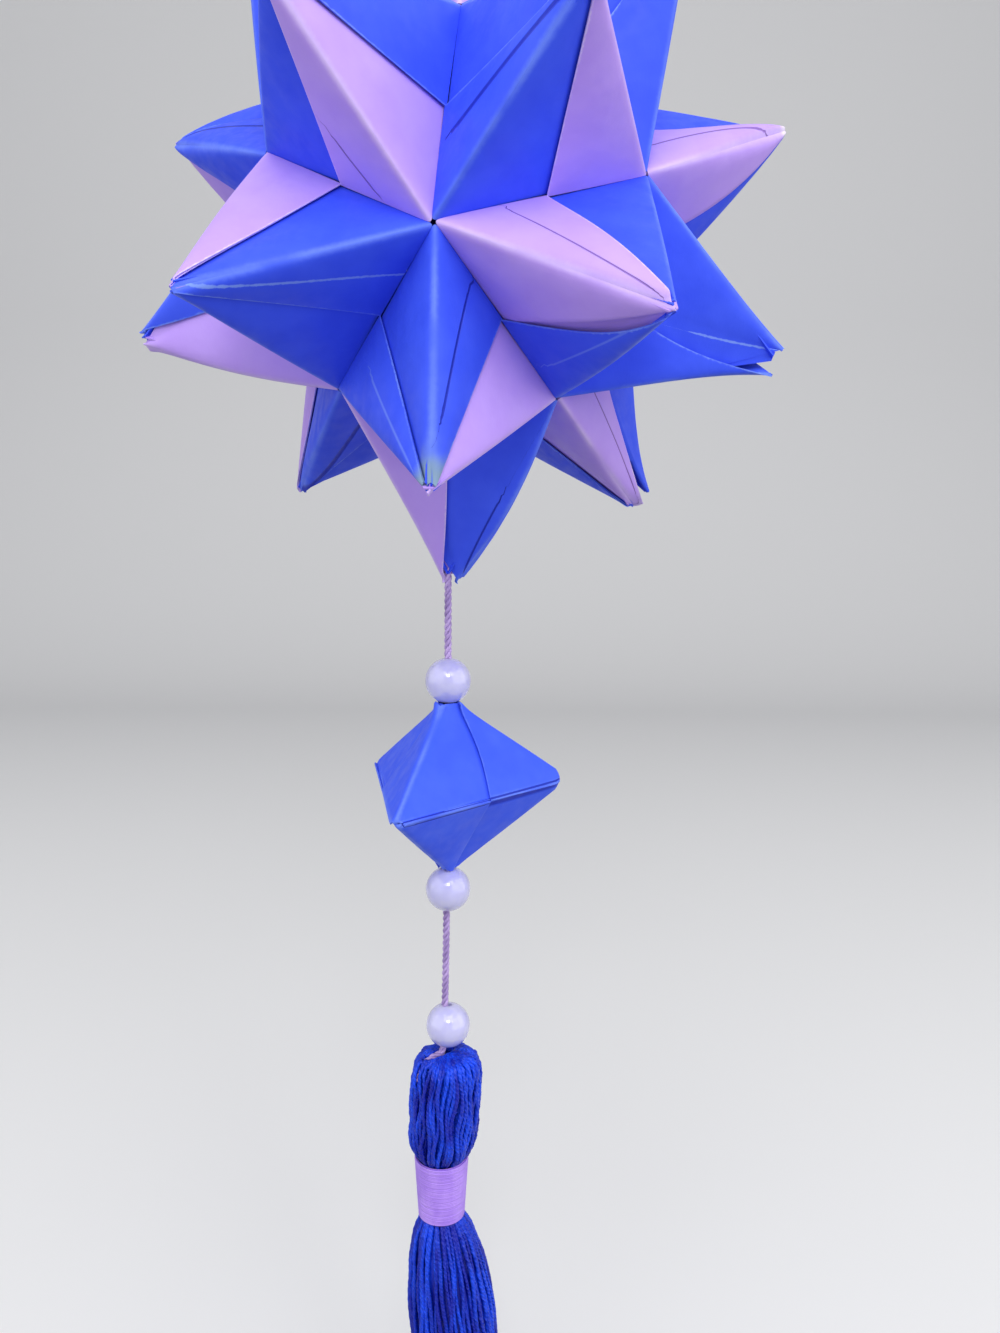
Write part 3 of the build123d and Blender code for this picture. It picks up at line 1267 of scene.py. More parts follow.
@dataclass
class StarBall:
    """The ball of thirty units on the edges of an icosahedron that stands on one face."""

    sheet_size: float = 90.0
    tip_level: float = -161.5
    turn: float = -3.9
    lean: float = 2.6
    stray_limit: float = 0.003
    folder: BallFolder = field(default_factory=BallFolder)
    chances: dict[str, Span] = field(
        default_factory=lambda: dict(
            lift=(0.1, 0.6),
            fan=(0.05, 0.3),
            puff=(0.25, 0.6),
            bow=(0.1, 0.45),
            base_lift=(0, 0.12),
            lip_trim=(1.0, 2.1),
            ridge_trim=(0.5, 1.0),
        )
    )
    pink_edges: tuple[tuple[str, str], ...] = (
        ("low_front", "high_right"),
        ("low_front", "high_left"),
        ("bottom_left", "bottom_right"),
        ("bottom_right", "low_right"),
        ("bottom_left", "low_left"),
        ("low_left", "top_left"),
        ("high_right", "top_right"),
        ("top_front", "top_left"),
        ("top_right", "high_back"),
        ("bottom_back", "high_back"),
    )
    corner_shifts: dict[str, tuple[float, float]] = field(
        default_factory=lambda: {
            "low_front": (-0.3, -0.25),
            "high_left": (0.35, 0.75),
            "high_right": (0.0, -0.3),
            "bottom_right": (-0.35, 0.85),
            "bottom_left": (0.15, 0.35),
            "top_front": (0.3, -0.4),
        }
    )
    tip_shifts: dict[tuple[str, str, str], tuple[float, float]] = field(
        default_factory=lambda: {
            ("low_front", "high_right", "bottom_right"): (-0.2, 0.5),
            ("high_right", "bottom_right", "low_right"): (-0.75, 0.6),
            ("low_front", "bottom_left", "bottom_right"): (1.05, -1.2),
            ("low_front", "high_left", "bottom_left"): (-1.3, 1.1),
            ("high_left", "bottom_left", "low_left"): (1.0, -0.45),
            ("high_left", "low_left", "top_left"): (0.4, -2.9),
            ("high_right", "low_right", "top_right"): (-0.4, 1.7),
            ("bottom_left", "low_left", "bottom_back"): (1.0, -0.6),
            ("bottom_right", "low_right", "bottom_back"): (-0.5, 0.0),
        }
    )
    handled: Handling = field(default_factory=lambda: dict(BALL_HANDLING))

    def __post_init__(self) -> None:
        """Work out the ball's edge, radius and placing."""
        self.edge = self.sheet_size * (1 - 1 / math.sqrt(3))
        self.tip_radius = self.edge * (GOLDEN_RATIO**2 / (2 * math.sqrt(3)) + math.sqrt(2 / 3))
        self.place = (
            Matrix.Translation((0, 0, self.tip_level))
            @ Matrix.Rotation(math.radians(self.lean), 4, "Y")
            @ Matrix.Translation((0, 0, self.tip_radius))
            @ Matrix.Rotation(math.radians(self.turn), 4, "Z")
        )
        self.corners = self.place_corners()

    def placed(self, point: np.ndarray) -> np.ndarray:
        """Bring a point of the ball's own frame into the part's frame."""
        return np.array(self.place @ Matrix.Translation(point.tolist())).T[3, :3]

    def place_corners(self) -> dict[str, np.ndarray]:
        """Place the corners of the icosahedron in the ball's own frame.

        Returns:
            The corners, by names that tell where they are as seen from the front.
        """
        radius = self.edge * math.sqrt(GOLDEN_RATIO * math.sqrt(5)) / 2
        outer = math.sqrt((5 + 2 * math.sqrt(5)) / 15)
        inner = math.sqrt((5 - 2 * math.sqrt(5)) / 15)
        rings = {
            "bottom": (-outer, {"left": 210, "right": 330, "back": 90}),
            "low": (-inner, {"front": 270, "right": 30, "left": 150}),
            "high": (inner, {"left": 210, "right": 330, "back": 90}),
            "top": (outer, {"front": 270, "right": 30, "left": 150}),
        }
        corners = {}
        for ring, (level, facings) in rings.items():
            reach = math.sqrt(1 - level**2)
            for facing, bearing in facings.items():
                angle = math.radians(bearing)
                place = [reach * math.cos(angle), reach * math.sin(angle), level]
                corners[f"{ring}_{facing}"] = np.array(place) * radius
        return corners

    def joined(self, first: str, second: str) -> bool:
        """Whether two corners are ends of one edge."""
        gap = np.linalg.norm(self.corners[first] - self.corners[second])
        return first != second and gap < self.edge * 1.01

    def third_corner(self, near: str, far: str) -> str:
        """The third corner of the face that a half's lip lies on.

        Args:
            near: The corner at the half's own end of the edge.
            far: The corner at the other end.

        Returns:
            The corner's name.
        """
        outward = self.corners[near] + self.corners[far]
        sideways = np.cross(outward, self.corners[far] - self.corners[near])
        for name, corner in self.corners.items():
            if self.joined(name, near) and self.joined(name, far) and corner @ sideways < 0:
                return name
        raise ValueError(f"no face at {near} and {far}")

    def tip_over(self, names: tuple[str, str, str]) -> np.ndarray:
        """The tip of the spike that stands on three corners, in the ball's own frame."""
        return unit_vector(sum(self.corners[name] for name in names)) * self.tip_radius

    def face_of(self, near: str, far: str) -> SpikeFace:
        """The spike's face that one half of a unit lies on, in the part's frame.

        Args:
            near: The corner at the half's own end of the edge.
            far: The corner at the other end.

        Returns:
            The face.
        """
        names = (near, far, self.third_corner(near, far))
        base = [self.corners[name] for name in names]
        return SpikeFace(*(self.placed(point) for point in (*base, self.tip_over(names))))

    def fold_of(self, near: str, far: str, chance: np.random.Generator) -> Fold:
        """How a half was folded, with a little chance from one to the next."""
        return Fold(**{**drawn(chance, self.chances), **self.handled.get((near, far), {})})

    def note_shifts(self) -> None:
        """Tell the folder where handling has moved the corners and tips."""
        for name, shift in self.corner_shifts.items():
            self.folder.shifts[self.folder.key(self.placed(self.corners[name]))] = shift
        for names, shift in self.tip_shifts.items():
            self.folder.shifts[self.folder.key(self.placed(self.tip_over(names)))] = shift

    def build(self) -> list[bpy.types.Object]:
        """Fold every unit and set it in place of its solid.

        Returns:
            The pieces.
        """
        chance = np.random.default_rng(7)
        self.folder.middle = self.placed(np.zeros(3))
        self.note_shifts()
        papers = {"pink": PINK_PAPER, "blue": BLUE_PAPER}
        materials = {colour: paper.material() for colour, paper in papers.items()}
        counts = {"pink": 0, "blue": 0}
        pieces = []
        for start, end in combinations(self.corners, 2):
            if not self.joined(start, end):
                continue
            pink = (start, end) in self.pink_edges or (end, start) in self.pink_edges
            colour = "pink" if pink else "blue"
            counts[colour] += 1
            node = f"{colour}_star_unit_{counts[colour]:02d}"
            maker = Maker(self.folder.marks)
            for near, far in ((start, end), (end, start)):
                self.folder.half(maker, self.face_of(near, far), self.fold_of(near, far, chance))
            name = f"{colour}_folded_sheet_{counts[colour]:02d}"
            pieces.append(maker.make(name, materials[colour], papers[colour].slot, node))
            self.report_fit(maker, node)
        return pieces

    def report_fit(self, maker: Maker, node: str) -> None:
        """Warn when a folded sheet strays from the solid that it stands for.

        Args:
            maker: The sheet's mesh.
            node: The solid's name.
        """
        points = np.concatenate(maker.points)
        ends = np.array([points.min(axis=0), points.max(axis=0)])
        stray = float(np.abs(ends - np.array(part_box(node))).max())
        if stray > self.stray_limit:
            LOG.warning("%s strays %.1f mm from its solid", node, stray * 1000)


@dataclass
class JewelFolder(PaperFolder):
    """Folds the jewel's units, whose girdle hangs a little askew between its ends."""

    level: float = -199.5
    slant: tuple[float, float] = (0.018, 0.046)
    end_level: float = 15.75
    flare: tuple[float, float] = (1.3, 0.35)
    flare_reach: float = 1.6
    blunt_corner: tuple[float, float] = (20.3, 0.62)

    def bent(self, grid: np.ndarray, face: SpikeFace) -> np.ndarray:
        """Slant the girdle, spread the ends over the beads and blunt the right corner.

        Args:
            grid: The points.
            face: Not used.

        Returns:
            The moved points.
        """
        askew = grid.copy()
        askew[..., 2] += grid[..., 0] * self.slant[0] + grid[..., 1] * self.slant[1]
        to_end = self.end_level - np.abs(grid[..., 2] - self.level)
        flare = np.where(grid[..., 2] > self.level, *self.flare)
        spread = flare * np.exp(-np.maximum(to_end, 0) / self.flare_reach)
        askew[..., :2] += spread[..., None] * unit_vector(grid[..., :2])
        start, give = self.blunt_corner
        askew[..., 0] -= np.maximum(0, grid[..., 0] - start) * give
        return askew


@dataclass
class PendantJewel:
    """Three units closed into a double pyramid, held between two beads."""

    sheet_size: float = 85.0
    level: float = -199.5
    turn: float = 10.9
    end_trims: dict[str, float] = field(default_factory=lambda: {"upper": 1.15, "lower": 1.5})
    chances: dict[str, Span] = field(default_factory=lambda: dict(lift=(0.05, 0.25), puff=(0.15, 0.35)))
    folder: PaperFolder = field(
        default_factory=lambda: JewelFolder(tab_reach=10.0, corner_trim=2.4, rows=28, base_wears=True)
    )
    handled: Handling = field(default_factory=lambda: dict(JEWEL_HANDLING))

    def faces(self, bearing: float) -> dict[str, SpikeFace]:
        """The two faces that a unit's lips lie on, above and below its base edge.

        Args:
            bearing: Where the unit's first corner points, in degrees.

        Returns:
            The faces of its two halves.
        """
        leg = self.sheet_size / (2 * math.sqrt(2))
        radius = leg * math.sqrt(2 / 3)
        centre = np.array([0, 0, self.level])
        corners = []
        for step in range(3):
            turned = math.radians(bearing + 120 * step)
            corners.append(centre + radius * np.array([math.cos(turned), math.sin(turned), 0]))
        start, end, third = corners
        rise = np.array([0, 0, leg / math.sqrt(3)])
        return {
            "lower": SpikeFace(start, end, third, centre - rise),
            "upper": SpikeFace(end, start, third, centre + rise),
        }

    def build(self) -> list[bpy.types.Object]:
        """Fold the three units and set them in place of their solids.

        Returns:
            The pieces.
        """
        material = JEWEL_PAPER.material()
        chance = np.random.default_rng(21)
        pieces = []
        for index, name in enumerate(["right_front", "right_back", "left"]):
            maker = Maker(self.folder.marks)
            for half, face in self.faces(self.turn - 120 + 120 * index).items():
                trim = self.end_trims[half]
                fold = Fold(fan=0.08, bow=0.15, lip_trim=trim, ridge_trim=trim)
                fold = replace(fold, **drawn(chance, self.chances))
                self.folder.half(maker, face, replace(fold, **self.handled.get((name, half), {})))
            pieces.append(
                maker.make(f"jewel_sheet_{name}", material, JEWEL_PAPER.slot, f"jewel_unit_{name}")
            )
        return pieces


@dataclass
class BeadString:
    """The three round beads on the cord."""

    radius: float = 4.25
    bore: float = 0.76
    bevel: float = 0.18
    levels: dict[str, float] = field(
        default_factory=lambda: {
            "bead_above_jewel": -179.5,
            "bead_below_jewel": -219.5,
            "bead_above_tassel": -246.95,
        }
    )

    def profile(self) -> np.ndarray:
        """The bead's outline from the top of its bore, round it, and up through the bore.

        Returns:
            Pairs of radius and level, in metres.
        """
        first = math.asin((self.bore + self.bevel) / self.radius)
        angle = np.linspace(first, math.pi - first, 48)
        round_side = np.stack([self.radius * np.sin(angle), self.radius * np.cos(angle)], axis=1)
        lip = round_side[0, 1]
        top = np.array([[self.bore, lip - 0.12], [self.bore + 0.05, lip + 0.02]])
        bottom = top[::-1] * [1, -1]
        inside = np.array([[self.bore, -lip / 2], [self.bore, 0], [self.bore, lip / 2], top[0]])
        return np.concatenate([top, round_side, bottom, inside]) * MILLIMETRE

    def build(self) -> list[bpy.types.Object]:
        """Turn each bead and set it in place of its solid.

        Returns:
            The pieces.
        """
        material = MILKY_BEAD.material()
        pieces = []
        for node, level in self.levels.items():
            maker = Maker()
            maker.turned(self.profile(), 72)
            maker.points = [points + [0, 0, level * MILLIMETRE] for points in maker.points]
            pieces.append(maker.make(f"milky_{node}", material, MILKY_BEAD.slot, node))
        return pieces


@dataclass
class HangingCord:
    """The twisted cord, with its loop, the loop's knot and the knot inside the ball."""

    diameter: float = 0.0014
    length: float = 0.303
    plies: int = 3
    ply_share: float = 0.48
    point_gap: float = 0.0002
    turns: float = 275.0
    knot_level: float = -0.0345
    stop_level: float = -0.064
    knot_scale: float = 0.00052
    knot_thread_radius: float = 0.00068
    route: tuple[Place, ...] = (
        (-0.0059, -0.0030, -0.2573),
        (-0.0050, -0.0025, -0.2542),
        (-0.0025, -0.00125, -0.2527),
        (0.0, 0.0, -0.2524),
        (0.0, 0.0, -0.0370),
        (0.0011, 0.0, -0.0305),
        (0.0037, 0.0002, -0.0195),
        (0.0049, 0.0001, -0.0102),
        (0.00507, 0.0, -0.00227),
        (0.0021, 0.0, 0.0007),
        (-0.0021, 0.0, 0.0007),
        (-0.00507, 0.0, -0.00227),
        (-0.0050, 0.0001, -0.0096),
        (-0.0041, 0.0002, -0.0190),
        (-0.0015, 0.0001, -0.0295),
        (-0.0007, 0.0, -0.0343),
    )

    def centreline(self) -> np.ndarray:
        """Read the cord's smooth middle line from a spline along its route.

        Returns:
            Its points, evenly spaced.
        """
        curve = bpy.data.curves.new("cord_route", "CURVE")
        curve.dimensions = "3D"
        curve.resolution_u = 40
        spline = curve.splines.new("NURBS")
        spline.points.add(len(self.route) - 1)
        for point, place in zip(spline.points, self.route):
            point.co = (*place, 1.0)
        spline.order_u = 3
        spline.use_endpoint_u = True
        holder = bpy.data.objects.new("cord_route", curve)
        line = bpy.data.meshes.new_from_object(holder)
        points = np.array([vertex.co for vertex in line.vertices])
        bpy.data.meshes.remove(line)
        bpy.data.objects.remove(holder)
        bpy.data.curves.remove(curve)
        return self.evenly(points, self.point_gap)

    @staticmethod
    def evenly(points: np.ndarray, step: float) -> np.ndarray:
        """Space the points of a line evenly.

        Args:
            points: The line's points.
            step: How far apart the new ones lie.

        Returns:
            The new points.
        """
        run = np.concatenate([[0], np.cumsum(np.linalg.norm(np.diff(points, axis=0), axis=1))])
        at = np.linspace(0, run[-1], max(int(run[-1] / step), 2))
        return np.stack([np.interp(at, run, points[:, axis]) for axis in range(3)], axis=1)

    def knot(self, level: float) -> np.ndarray:
        """Points of a small overhand knot round the cord.

        Args:
            level: How high it lies.

        Returns:
            The points of its closed line.
        """
        angle = np.linspace(0, 2 * np.pi, 120)
        right = np.sin(angle) + 2 * np.sin(2 * angle)
        back = np.cos(angle) - 2 * np.cos(2 * angle)
        knot = np.stack([right, back, -1.5 * np.sin(3 * angle)], axis=1)
        return knot * self.knot_scale + [0, 0, level]

    def build(self) -> list[bpy.types.Object]:
        """Returns:
            The cord and its two knots.
        """
        material = LILAC_CORD.material()
        line = self.centreline()
        run, across, upward = along_path(line)
        maker = Maker(("tone",))
        ply_radius = self.diameter / 2 * self.ply_share
        for ply in range(self.plies):
            angle = run * self.turns * 2 * np.pi + ply * 2 * np.pi / self.plies
            reach = self.diameter / 2 - ply_radius
            offset = np.cos(angle)[:, None] * across + np.sin(angle)[:, None] * upward
            tone = 0.5 + 0.3 * np.sin(run * 900 + ply * 2)
            maker.tube(line + offset * reach, ply_radius, 7, turns=-500, values={"tone": tone})
        cord = maker.make("twisted_cord", material, LILAC_CORD.slot, "hanging_cord")
        knots = []
        for name, level in (("loop_knot", self.knot_level), ("stop_knot", self.stop_level)):
            tie = Maker(("tone",))
            path = self.knot(level)
            tone = np.full(len(path), 0.5)
            tie.tube(path, self.knot_thread_radius, 9, turns=300, lobe=0.25, values={"tone": tone})
            knots.append(tie.make(name, material, LILAC_CORD.slot, "hanging_cord"))
        return [cord, *knots]


@dataclass
class Tassel:
    """The floss bundle bent over the cord, and the band wound round its neck."""

    head_top: float = -252.1
    head_length: float = 22.0
    head_radius: float = 6.95
    band_length: float = 12.4
    band_top_radius: float = 5.35
    band_bottom_radius: float = 4.6
    band_turns: int = 44
    band_thread_radius: float = 0.19
    skirt_length: float = 57.0
    skirt_radius: float = 9.3
    neck_shift: float = -1.3
    yarn_radius: float = 0.48
    head_yarn_count: int = 52
    outer_yarn_count: int = 60
    inner_yarn_count: int = 34
    cord_end_points: int = 90
    buried_points: int = 7
    room_over: float = 1.25
    room_aside: float = 1.3
    room_reach: float = 2.8
    head_stops: Stops = (
        (0.0, 0.14), (0.012, 0.5), (0.035, 0.76), (0.09, 0.92), (0.2, 0.98),
        (0.38, 1.0), (0.62, 1.0), (0.82, 0.94), (0.93, 0.8), (1.0, 0.6),
    )
    skirt_stops: Stops = ((0.0, 0.44), (0.05, 0.62), (0.13, 0.78), (0.26, 0.9), (0.6, 0.96), (1.0, 1.0))

    def skirt_shift(self, depth: np.ndarray) -> np.ndarray:
        """How far the hanging skirt's middle lies to the right of the cord."""
        return self.neck_shift + 5.6 * np.clip(depth, 0, 0.55) + 0.2 * np.clip(depth - 0.55, 0, 1)

    def neck_bottom(self) -> float:
        """The level where the skirt leaves the band."""
        return self.head_top - self.head_length - self.band_length

    def band_radius(self, share: np.ndarray) -> np.ndarray:
        """The band's radius at a share of the way down."""
        return self.band_top_radius + (self.band_bottom_radius - self.band_top_radius) * share

    def spin(self, chance: np.random.Generator, slowest: float) -> dict[str, float]:
        """Choose how a yarn is spun.

        Args:
            chance: Where the small differences come from.
            slowest: The fewest turns in a metre, which are negative for this way round.

        Returns:
            Its radius and its twist, by the names that a tube knows them by.
        """
        spans = dict(
            radius=(0.8, 1.1), turns=(-330, slowest), lobe=(0.1, 0.25), start=(0, 6), twist=(420, 760)
        )
        spun = drawn(chance, spans)
        spun["radius"] *= self.yarn_radius * MILLIMETRE
        return spun

    def head_yarns(self, maker: Maker, cord_end: np.ndarray, chance: np.random.Generator) -> None:
        """Add the yarns of the head, from the cord over the shoulder into the band.

        Args:
            maker: The mesh that they go into.
            cord_end: Points of the cord's end, which the yarns make room for.
            chance: Where the small differences come from.
        """
        depth = np.concatenate([np.linspace(0, 0.06, 16), np.linspace(0.075, 1.06, 86)])
        profile = smooth_curve(self.head_stops, np.minimum(depth, 1.0)) * self.head_radius
        layers = ((self.head_yarn_count, 0.0), (self.head_yarn_count - 8, 0.9))
        for layer, (count, inset) in enumerate(layers):
            for index in range(count):
                bearing = (index + 0.5 * layer + chance.uniform(-0.22, 0.22)) * 2 * np.pi / count
                phase = chance.uniform(0, 2 * np.pi)
                drift = chance.uniform(-0.1, 0.1) * depth
                angle = bearing + drift + 0.05 * np.sin(depth * 11 + phase)
                radius = profile - self.yarn_radius - inset * np.clip(depth * 12, 0, 1)
                radius = np.maximum(radius + 0.2 * np.sin(depth * 13 + phase * 2), 0.15)
                level = self.head_top - self.yarn_radius - self.head_length * depth
                path = around(self.neck_shift * np.minimum(depth, 1), radius, angle, level)
                path = self.make_room(path, cord_end)
                # Painted highlight: besides each yarn's own tone, the head's yarns are painted lighter
                # towards its top, where light falls from above.
                tone = chance.uniform(0, 1) + 0.5 * (0.35 - np.clip(depth, 0, 1))
                maker.tube(path * MILLIMETRE, sides=7, values={"tone": tone}, **self.spin(chance, -150))

    def make_room(self, path: np.ndarray, cord: np.ndarray) -> np.ndarray:
        """Part the yarns round the cord's end.

        Args:
            path: Points of a yarn, in millimetres.
            cord: Points of the cord's end, in millimetres.

        Returns:
            The path, moved off the cord.
        """
        gap = path[:, None] - cord[None]
        distance = np.linalg.norm(gap, axis=-1)
        nearest = distance.argmin(axis=1)
        gap = gap[np.arange(len(path)), nearest]
        apart = distance.min(axis=1)
        outward = unit_vector(path * [1, 1, 0.3] - [0, 0, self.head_top * 0.3 - 3])
        over = outward * np.maximum(0, self.room_over - apart)[:, None]
        sideways = unit_vector(np.cross(outward, np.gradient(cord, axis=0)[nearest]))
        aside = np.sum(gap * sideways, axis=1)
        close = np.clip((self.room_reach - apart) / (self.room_reach / 2), 0, 1)
        side = 1 if float((aside * close).sum()) > 0 else -1
        push = np.maximum(0, self.room_aside - side * aside) * close * side
        buried = np.clip((nearest - self.buried_points + 1) / 2, 0, 1)[:, None]
        return path + over * (1 - buried) + sideways * push[:, None] * buried

    def skirt_yarns(self, maker: Maker, chance: np.random.Generator, inner: bool) -> None:
        """Add the yarns that hang out of the band.

        Args:
            maker: The mesh that they go into.
            chance: Where the small differences come from.
            inner: Whether these are the hidden ones inside, which are coarser.
        """
        count, rings, sides = (self.inner_yarn_count, 60, 6) if inner else (self.outer_yarn_count, 128, 7)
        insets = (2.2, 5.5) if inner else (0.0, 0.7)
        depth = np.linspace(-0.03, 1.0, rings)
        profile = smooth_curve(self.skirt_stops, np.clip(depth, 0, 1)) * self.skirt_radius
        for index in range(count):
            bearing = (index + chance.uniform(-0.3, 0.3)) * 2 * np.pi / count
            phase = chance.uniform(0, 2 * np.pi)
            angle = bearing + 0.05 * np.sin(depth * 7 + phase) + 0.025 * np.sin(depth * 24 + phase * 2)
            angle = angle + chance.uniform(-0.1, 0.1) * depth
            radius = profile - self.yarn_radius - chance.uniform(*insets) * np.clip(depth * 6 + 0.2, 0, 1)
            radius = np.maximum(radius, 0.4) + 0.14 * np.sin(depth * 16 + phase * 3)
            level = self.neck_bottom() - self.skirt_length * depth * chance.uniform(0.965, 0.995)
            path = around(self.skirt_shift(depth), radius, angle, level)
            spun = self.spin(chance, -180)
            tone = np.full(rings, chance.uniform(0, 1))
            maker.tube(path * MILLIMETRE, sides=sides, values={"tone": tone}, **spun)

    def core(self, maker: Maker) -> None:
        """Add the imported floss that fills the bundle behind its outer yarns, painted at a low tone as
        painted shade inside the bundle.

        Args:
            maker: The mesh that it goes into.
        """
        head, skirt = np.linspace(0.03, 1.3, 30), np.linspace(0, 0.9, 24)
        inside = smooth_curve(self.head_stops, np.minimum(head, 1.0)) * self.head_radius
        hanging = smooth_curve(self.skirt_stops, skirt) * self.skirt_radius
        radius = np.concatenate([np.maximum(inside * 0.84 - 0.5, 0.3), hanging * 0.86 - 0.4])
        shift = np.concatenate([self.neck_shift * np.minimum(head, 1), self.skirt_shift(skirt)])
        level = np.concatenate(
            [self.head_top - self.head_length * head, self.neck_bottom() - self.skirt_length * skirt]
        )
        angle = np.linspace(0, 2 * np.pi, 36, endpoint=False)
        wavy = radius[:, None] * (1 + 0.05 * np.cos(angle * 12))
        grid = around(shift[:, None], wavy, angle, level[:, None])
        # Painted shade: a tone of zero paints the core in the dark colour, as shade inside the bundle.
        plain = np.zeros(grid.shape[:2])
        maker.patch(grid * MILLIMETRE, {"tone": plain, "twist": plain}, closed=True)
        maker.cap(grid[-1] * MILLIMETRE, {"tone": 0.0, "twist": 0.0})

    def band(self, maker: Maker, chance: np.random.Generator) -> None:
        """Wind the band's thread round the neck, over a plain inside.

        Args:
            maker: The mesh that it goes into.
            chance: Where the small differences come from.
        """
        share = np.linspace(0, 1, self.band_turns * 36)
        angle = share * self.band_turns * 2 * np.pi
        thread = self.band_thread_radius
        radius = self.band_radius(share) - thread + 0.03 * np.sin(angle * 0.37 + 1)
        top = self.head_top - self.head_length
        level = top - thread - share * (self.band_length - 2 * thread)
        level = level + 0.03 * np.sin(angle * 0.23) + 0.03 * np.sin(angle * 0.19 + 2)
        path = around(self.neck_shift, radius, angle, level)
        tone = 0.5 + 0.15 * np.sin(angle * 0.11 + chance.uniform(0, 3))
        maker.tube(path * MILLIMETRE, thread * MILLIMETRE, 6, values={"tone": tone})
        share = np.linspace(0, 1, 6)[:, None]
        circle = np.linspace(0, 2 * np.pi, 64, endpoint=False)
        grid = around(self.neck_shift, self.band_radius(share) - 0.42, circle, top - self.band_length * share)
        maker.patch(grid * MILLIMETRE, {"tone": np.full(grid.shape[:2], 0.3)}, closed=True)

    def build(self, cord_line: np.ndarray) -> list[bpy.types.Object]:
        """Make the floss and the band and set them in place of their solids.

        Args:
            cord_line: Points of the cord's middle line, in metres.

        Returns:
            The pieces.
        """
        chance = np.random.default_rng(3)
        floss = ROYAL_FLOSS.material()
        makers = {part: Maker(("tone", "twist")) for part in ("head", "skirt", "inner")}
        self.head_yarns(makers["head"], cord_line[: self.cord_end_points : 3] / MILLIMETRE, chance)
        self.skirt_yarns(makers["skirt"], chance, inner=False)
        self.skirt_yarns(makers["inner"], chance, inner=True)
        self.core(makers["inner"])
        wound = Maker(("tone",))
        self.band(wound, chance)
        pieces = [
            maker.make(f"tassel_{part}_yarns", floss, ROYAL_FLOSS.slot, "tassel_floss")
            for part, maker in makers.items()
        ]
        band = wound.make("tassel_band_thread", BAND_THREAD.material(), BAND_THREAD.slot, "tassel_band")
        return [*pieces, band]


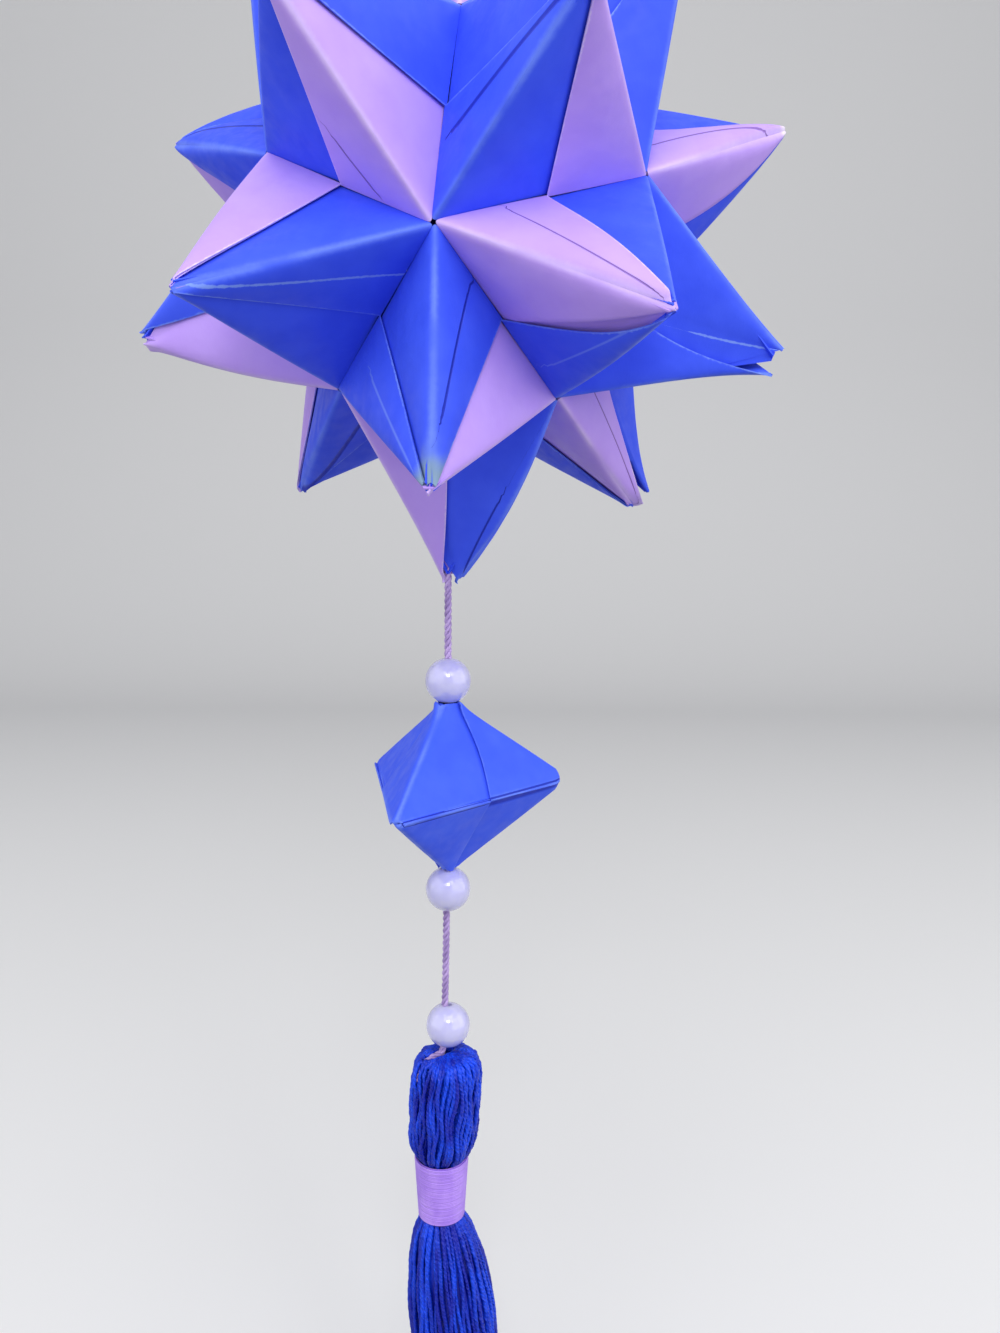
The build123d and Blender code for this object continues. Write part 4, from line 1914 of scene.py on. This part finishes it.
@dataclass
class Studio:
    """A pale room with soft light, and the camera at the photograph's place."""

    floor_level: float = -0.352
    floor_front: float = -1.6
    floor_back: float = 0.9
    bend_radius: float = 0.5
    wall_top: float = 2.4
    half_width: float = 2.2
    camera_place: Place = (0.00956, -0.18811, -0.15020)
    camera_right: Place = (0.999975, 0.00099, 0.0070009)
    camera_up: Place = (-0.0070705, 0.140014, 0.990124)
    camera_back: Place = (0.0, -0.990149, 0.140018)
    lens: float = 27.84
    middle: Place = (0.0, 0.0, -0.13)

    def camera(self) -> None:
        """Set up the camera that sees the object as the photograph does."""
        data = bpy.data.cameras.new("camera")
        data.lens = self.lens
        data.sensor_width = 36.0
        data.sensor_fit = "AUTO"
        data.clip_start = 0.01
        data.clip_end = 50.0
        axes = [self.camera_right, self.camera_up, self.camera_back]
        bpy.context.scene.camera = set_up("camera", data, axes, self.camera_place)

    def backdrop(self) -> None:
        """Lay a pale floor that curves up into a backdrop."""
        angle = np.linspace(0, math.pi / 2, 13)
        bend = self.floor_back + self.bend_radius * np.sin(angle)
        depth = np.array([self.floor_front, *bend, self.floor_back + self.bend_radius])
        height = np.array([0.0, *(self.bend_radius * (1 - np.cos(angle))), self.wall_top])
        grid = np.empty((len(depth), 3, 3))
        grid[..., 0] = np.linspace(-self.half_width, self.half_width, 3)
        grid[..., 1] = depth[:, None]
        grid[..., 2] = height[:, None] + self.floor_level
        maker = Maker()
        maker.patch(grid)
        maker.mesh("pale_backdrop", self.backdrop_material())

    def backdrop_material(self) -> bpy.types.Material:
        """Make a pale matt surface that throws little light back onto the object.

        Returns:
            The material.
        """
        nodes = Nodes(bpy.data.materials.new("pale_matt_backdrop"))
        seen = nodes.seen_by("Is Camera Ray", "Is Glossy Ray", "Is Transmission Ray")
        nodes.settle(
            Base_Color=nodes.blend(seen, (0.36, 0.36, 0.38), (0.9, 0.9, 0.91)),
            Roughness=0.95,
            Specular_IOR_Level=0.1,
        )
        return nodes.owner

    def world(self) -> None:
        """Fill the room with even light, and show it pale behind the object."""
        bpy.context.scene.world = bpy.data.worlds.new("pale_room")
        nodes = Nodes(bpy.context.scene.world, "Background")
        seen = nodes.seen_by("Is Camera Ray", "Is Glossy Ray")
        nodes.settle(Color=(0.97, 0.98, 1.0), Strength=nodes.span(seen, 0, 1, 0.41, 0.85))

    def lamp(self, name: str, place: Place, size: float, power: float) -> None:
        """Hang one soft square lamp that faces the object.

        Args:
            name: The lamp's name.
            place: Where it hangs.
            size: Length of its side.
            power: Its power in watts.
        """
        data = bpy.data.lights.new(name, "AREA")
        data.shape = "SQUARE"
        data.size = size
        data.energy = power
        back = unit_vector(np.array(place) - np.array(self.middle))
        right = unit_vector(np.cross([0.0, 0.0, 1.0], back))
        set_up(name, data, [right, np.cross(back, right), back], place)

    def lights(self) -> None:
        """Hang a large lamp above the front, a small one by it, and one on each side."""
        self.lamp("key_lamp", (0.05, -0.6, 0.75), 0.9, 5.0)
        self.lamp("small_lamp", (0.018, -0.351, 0.064), 0.11, 0.36)
        self.lamp("right_lamp", (0.9, -0.45, 0.05), 1.5, 9.6)
        self.lamp("left_lamp", (-0.9, -0.45, 0.05), 1.5, 6.8)


def main() -> None:
    """Build the whole object in order, and report each piece."""
    logging.basicConfig(level=logging.INFO, format="%(message)s")
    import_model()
    bpy.context.scene.view_settings.view_transform = "Standard"
    studio = Studio()
    studio.camera()
    cord = HangingCord()
    pieces = cord.build()
    pieces += StarBall().build()
    pieces += PendantJewel().build()
    pieces += BeadString().build()
    pieces += Tassel().build(cord.centreline())
    studio.backdrop()
    studio.world()
    studio.lights()
    triangles = 0
    for piece in pieces:
        count = sum(len(face.vertices) - 2 for face in piece.data.polygons)
        triangles += count
        LOG.info("%s: %d triangles", piece.name, count)
    LOG.info("%d triangles in all", triangles)


if __name__ == "__main__":
    main()
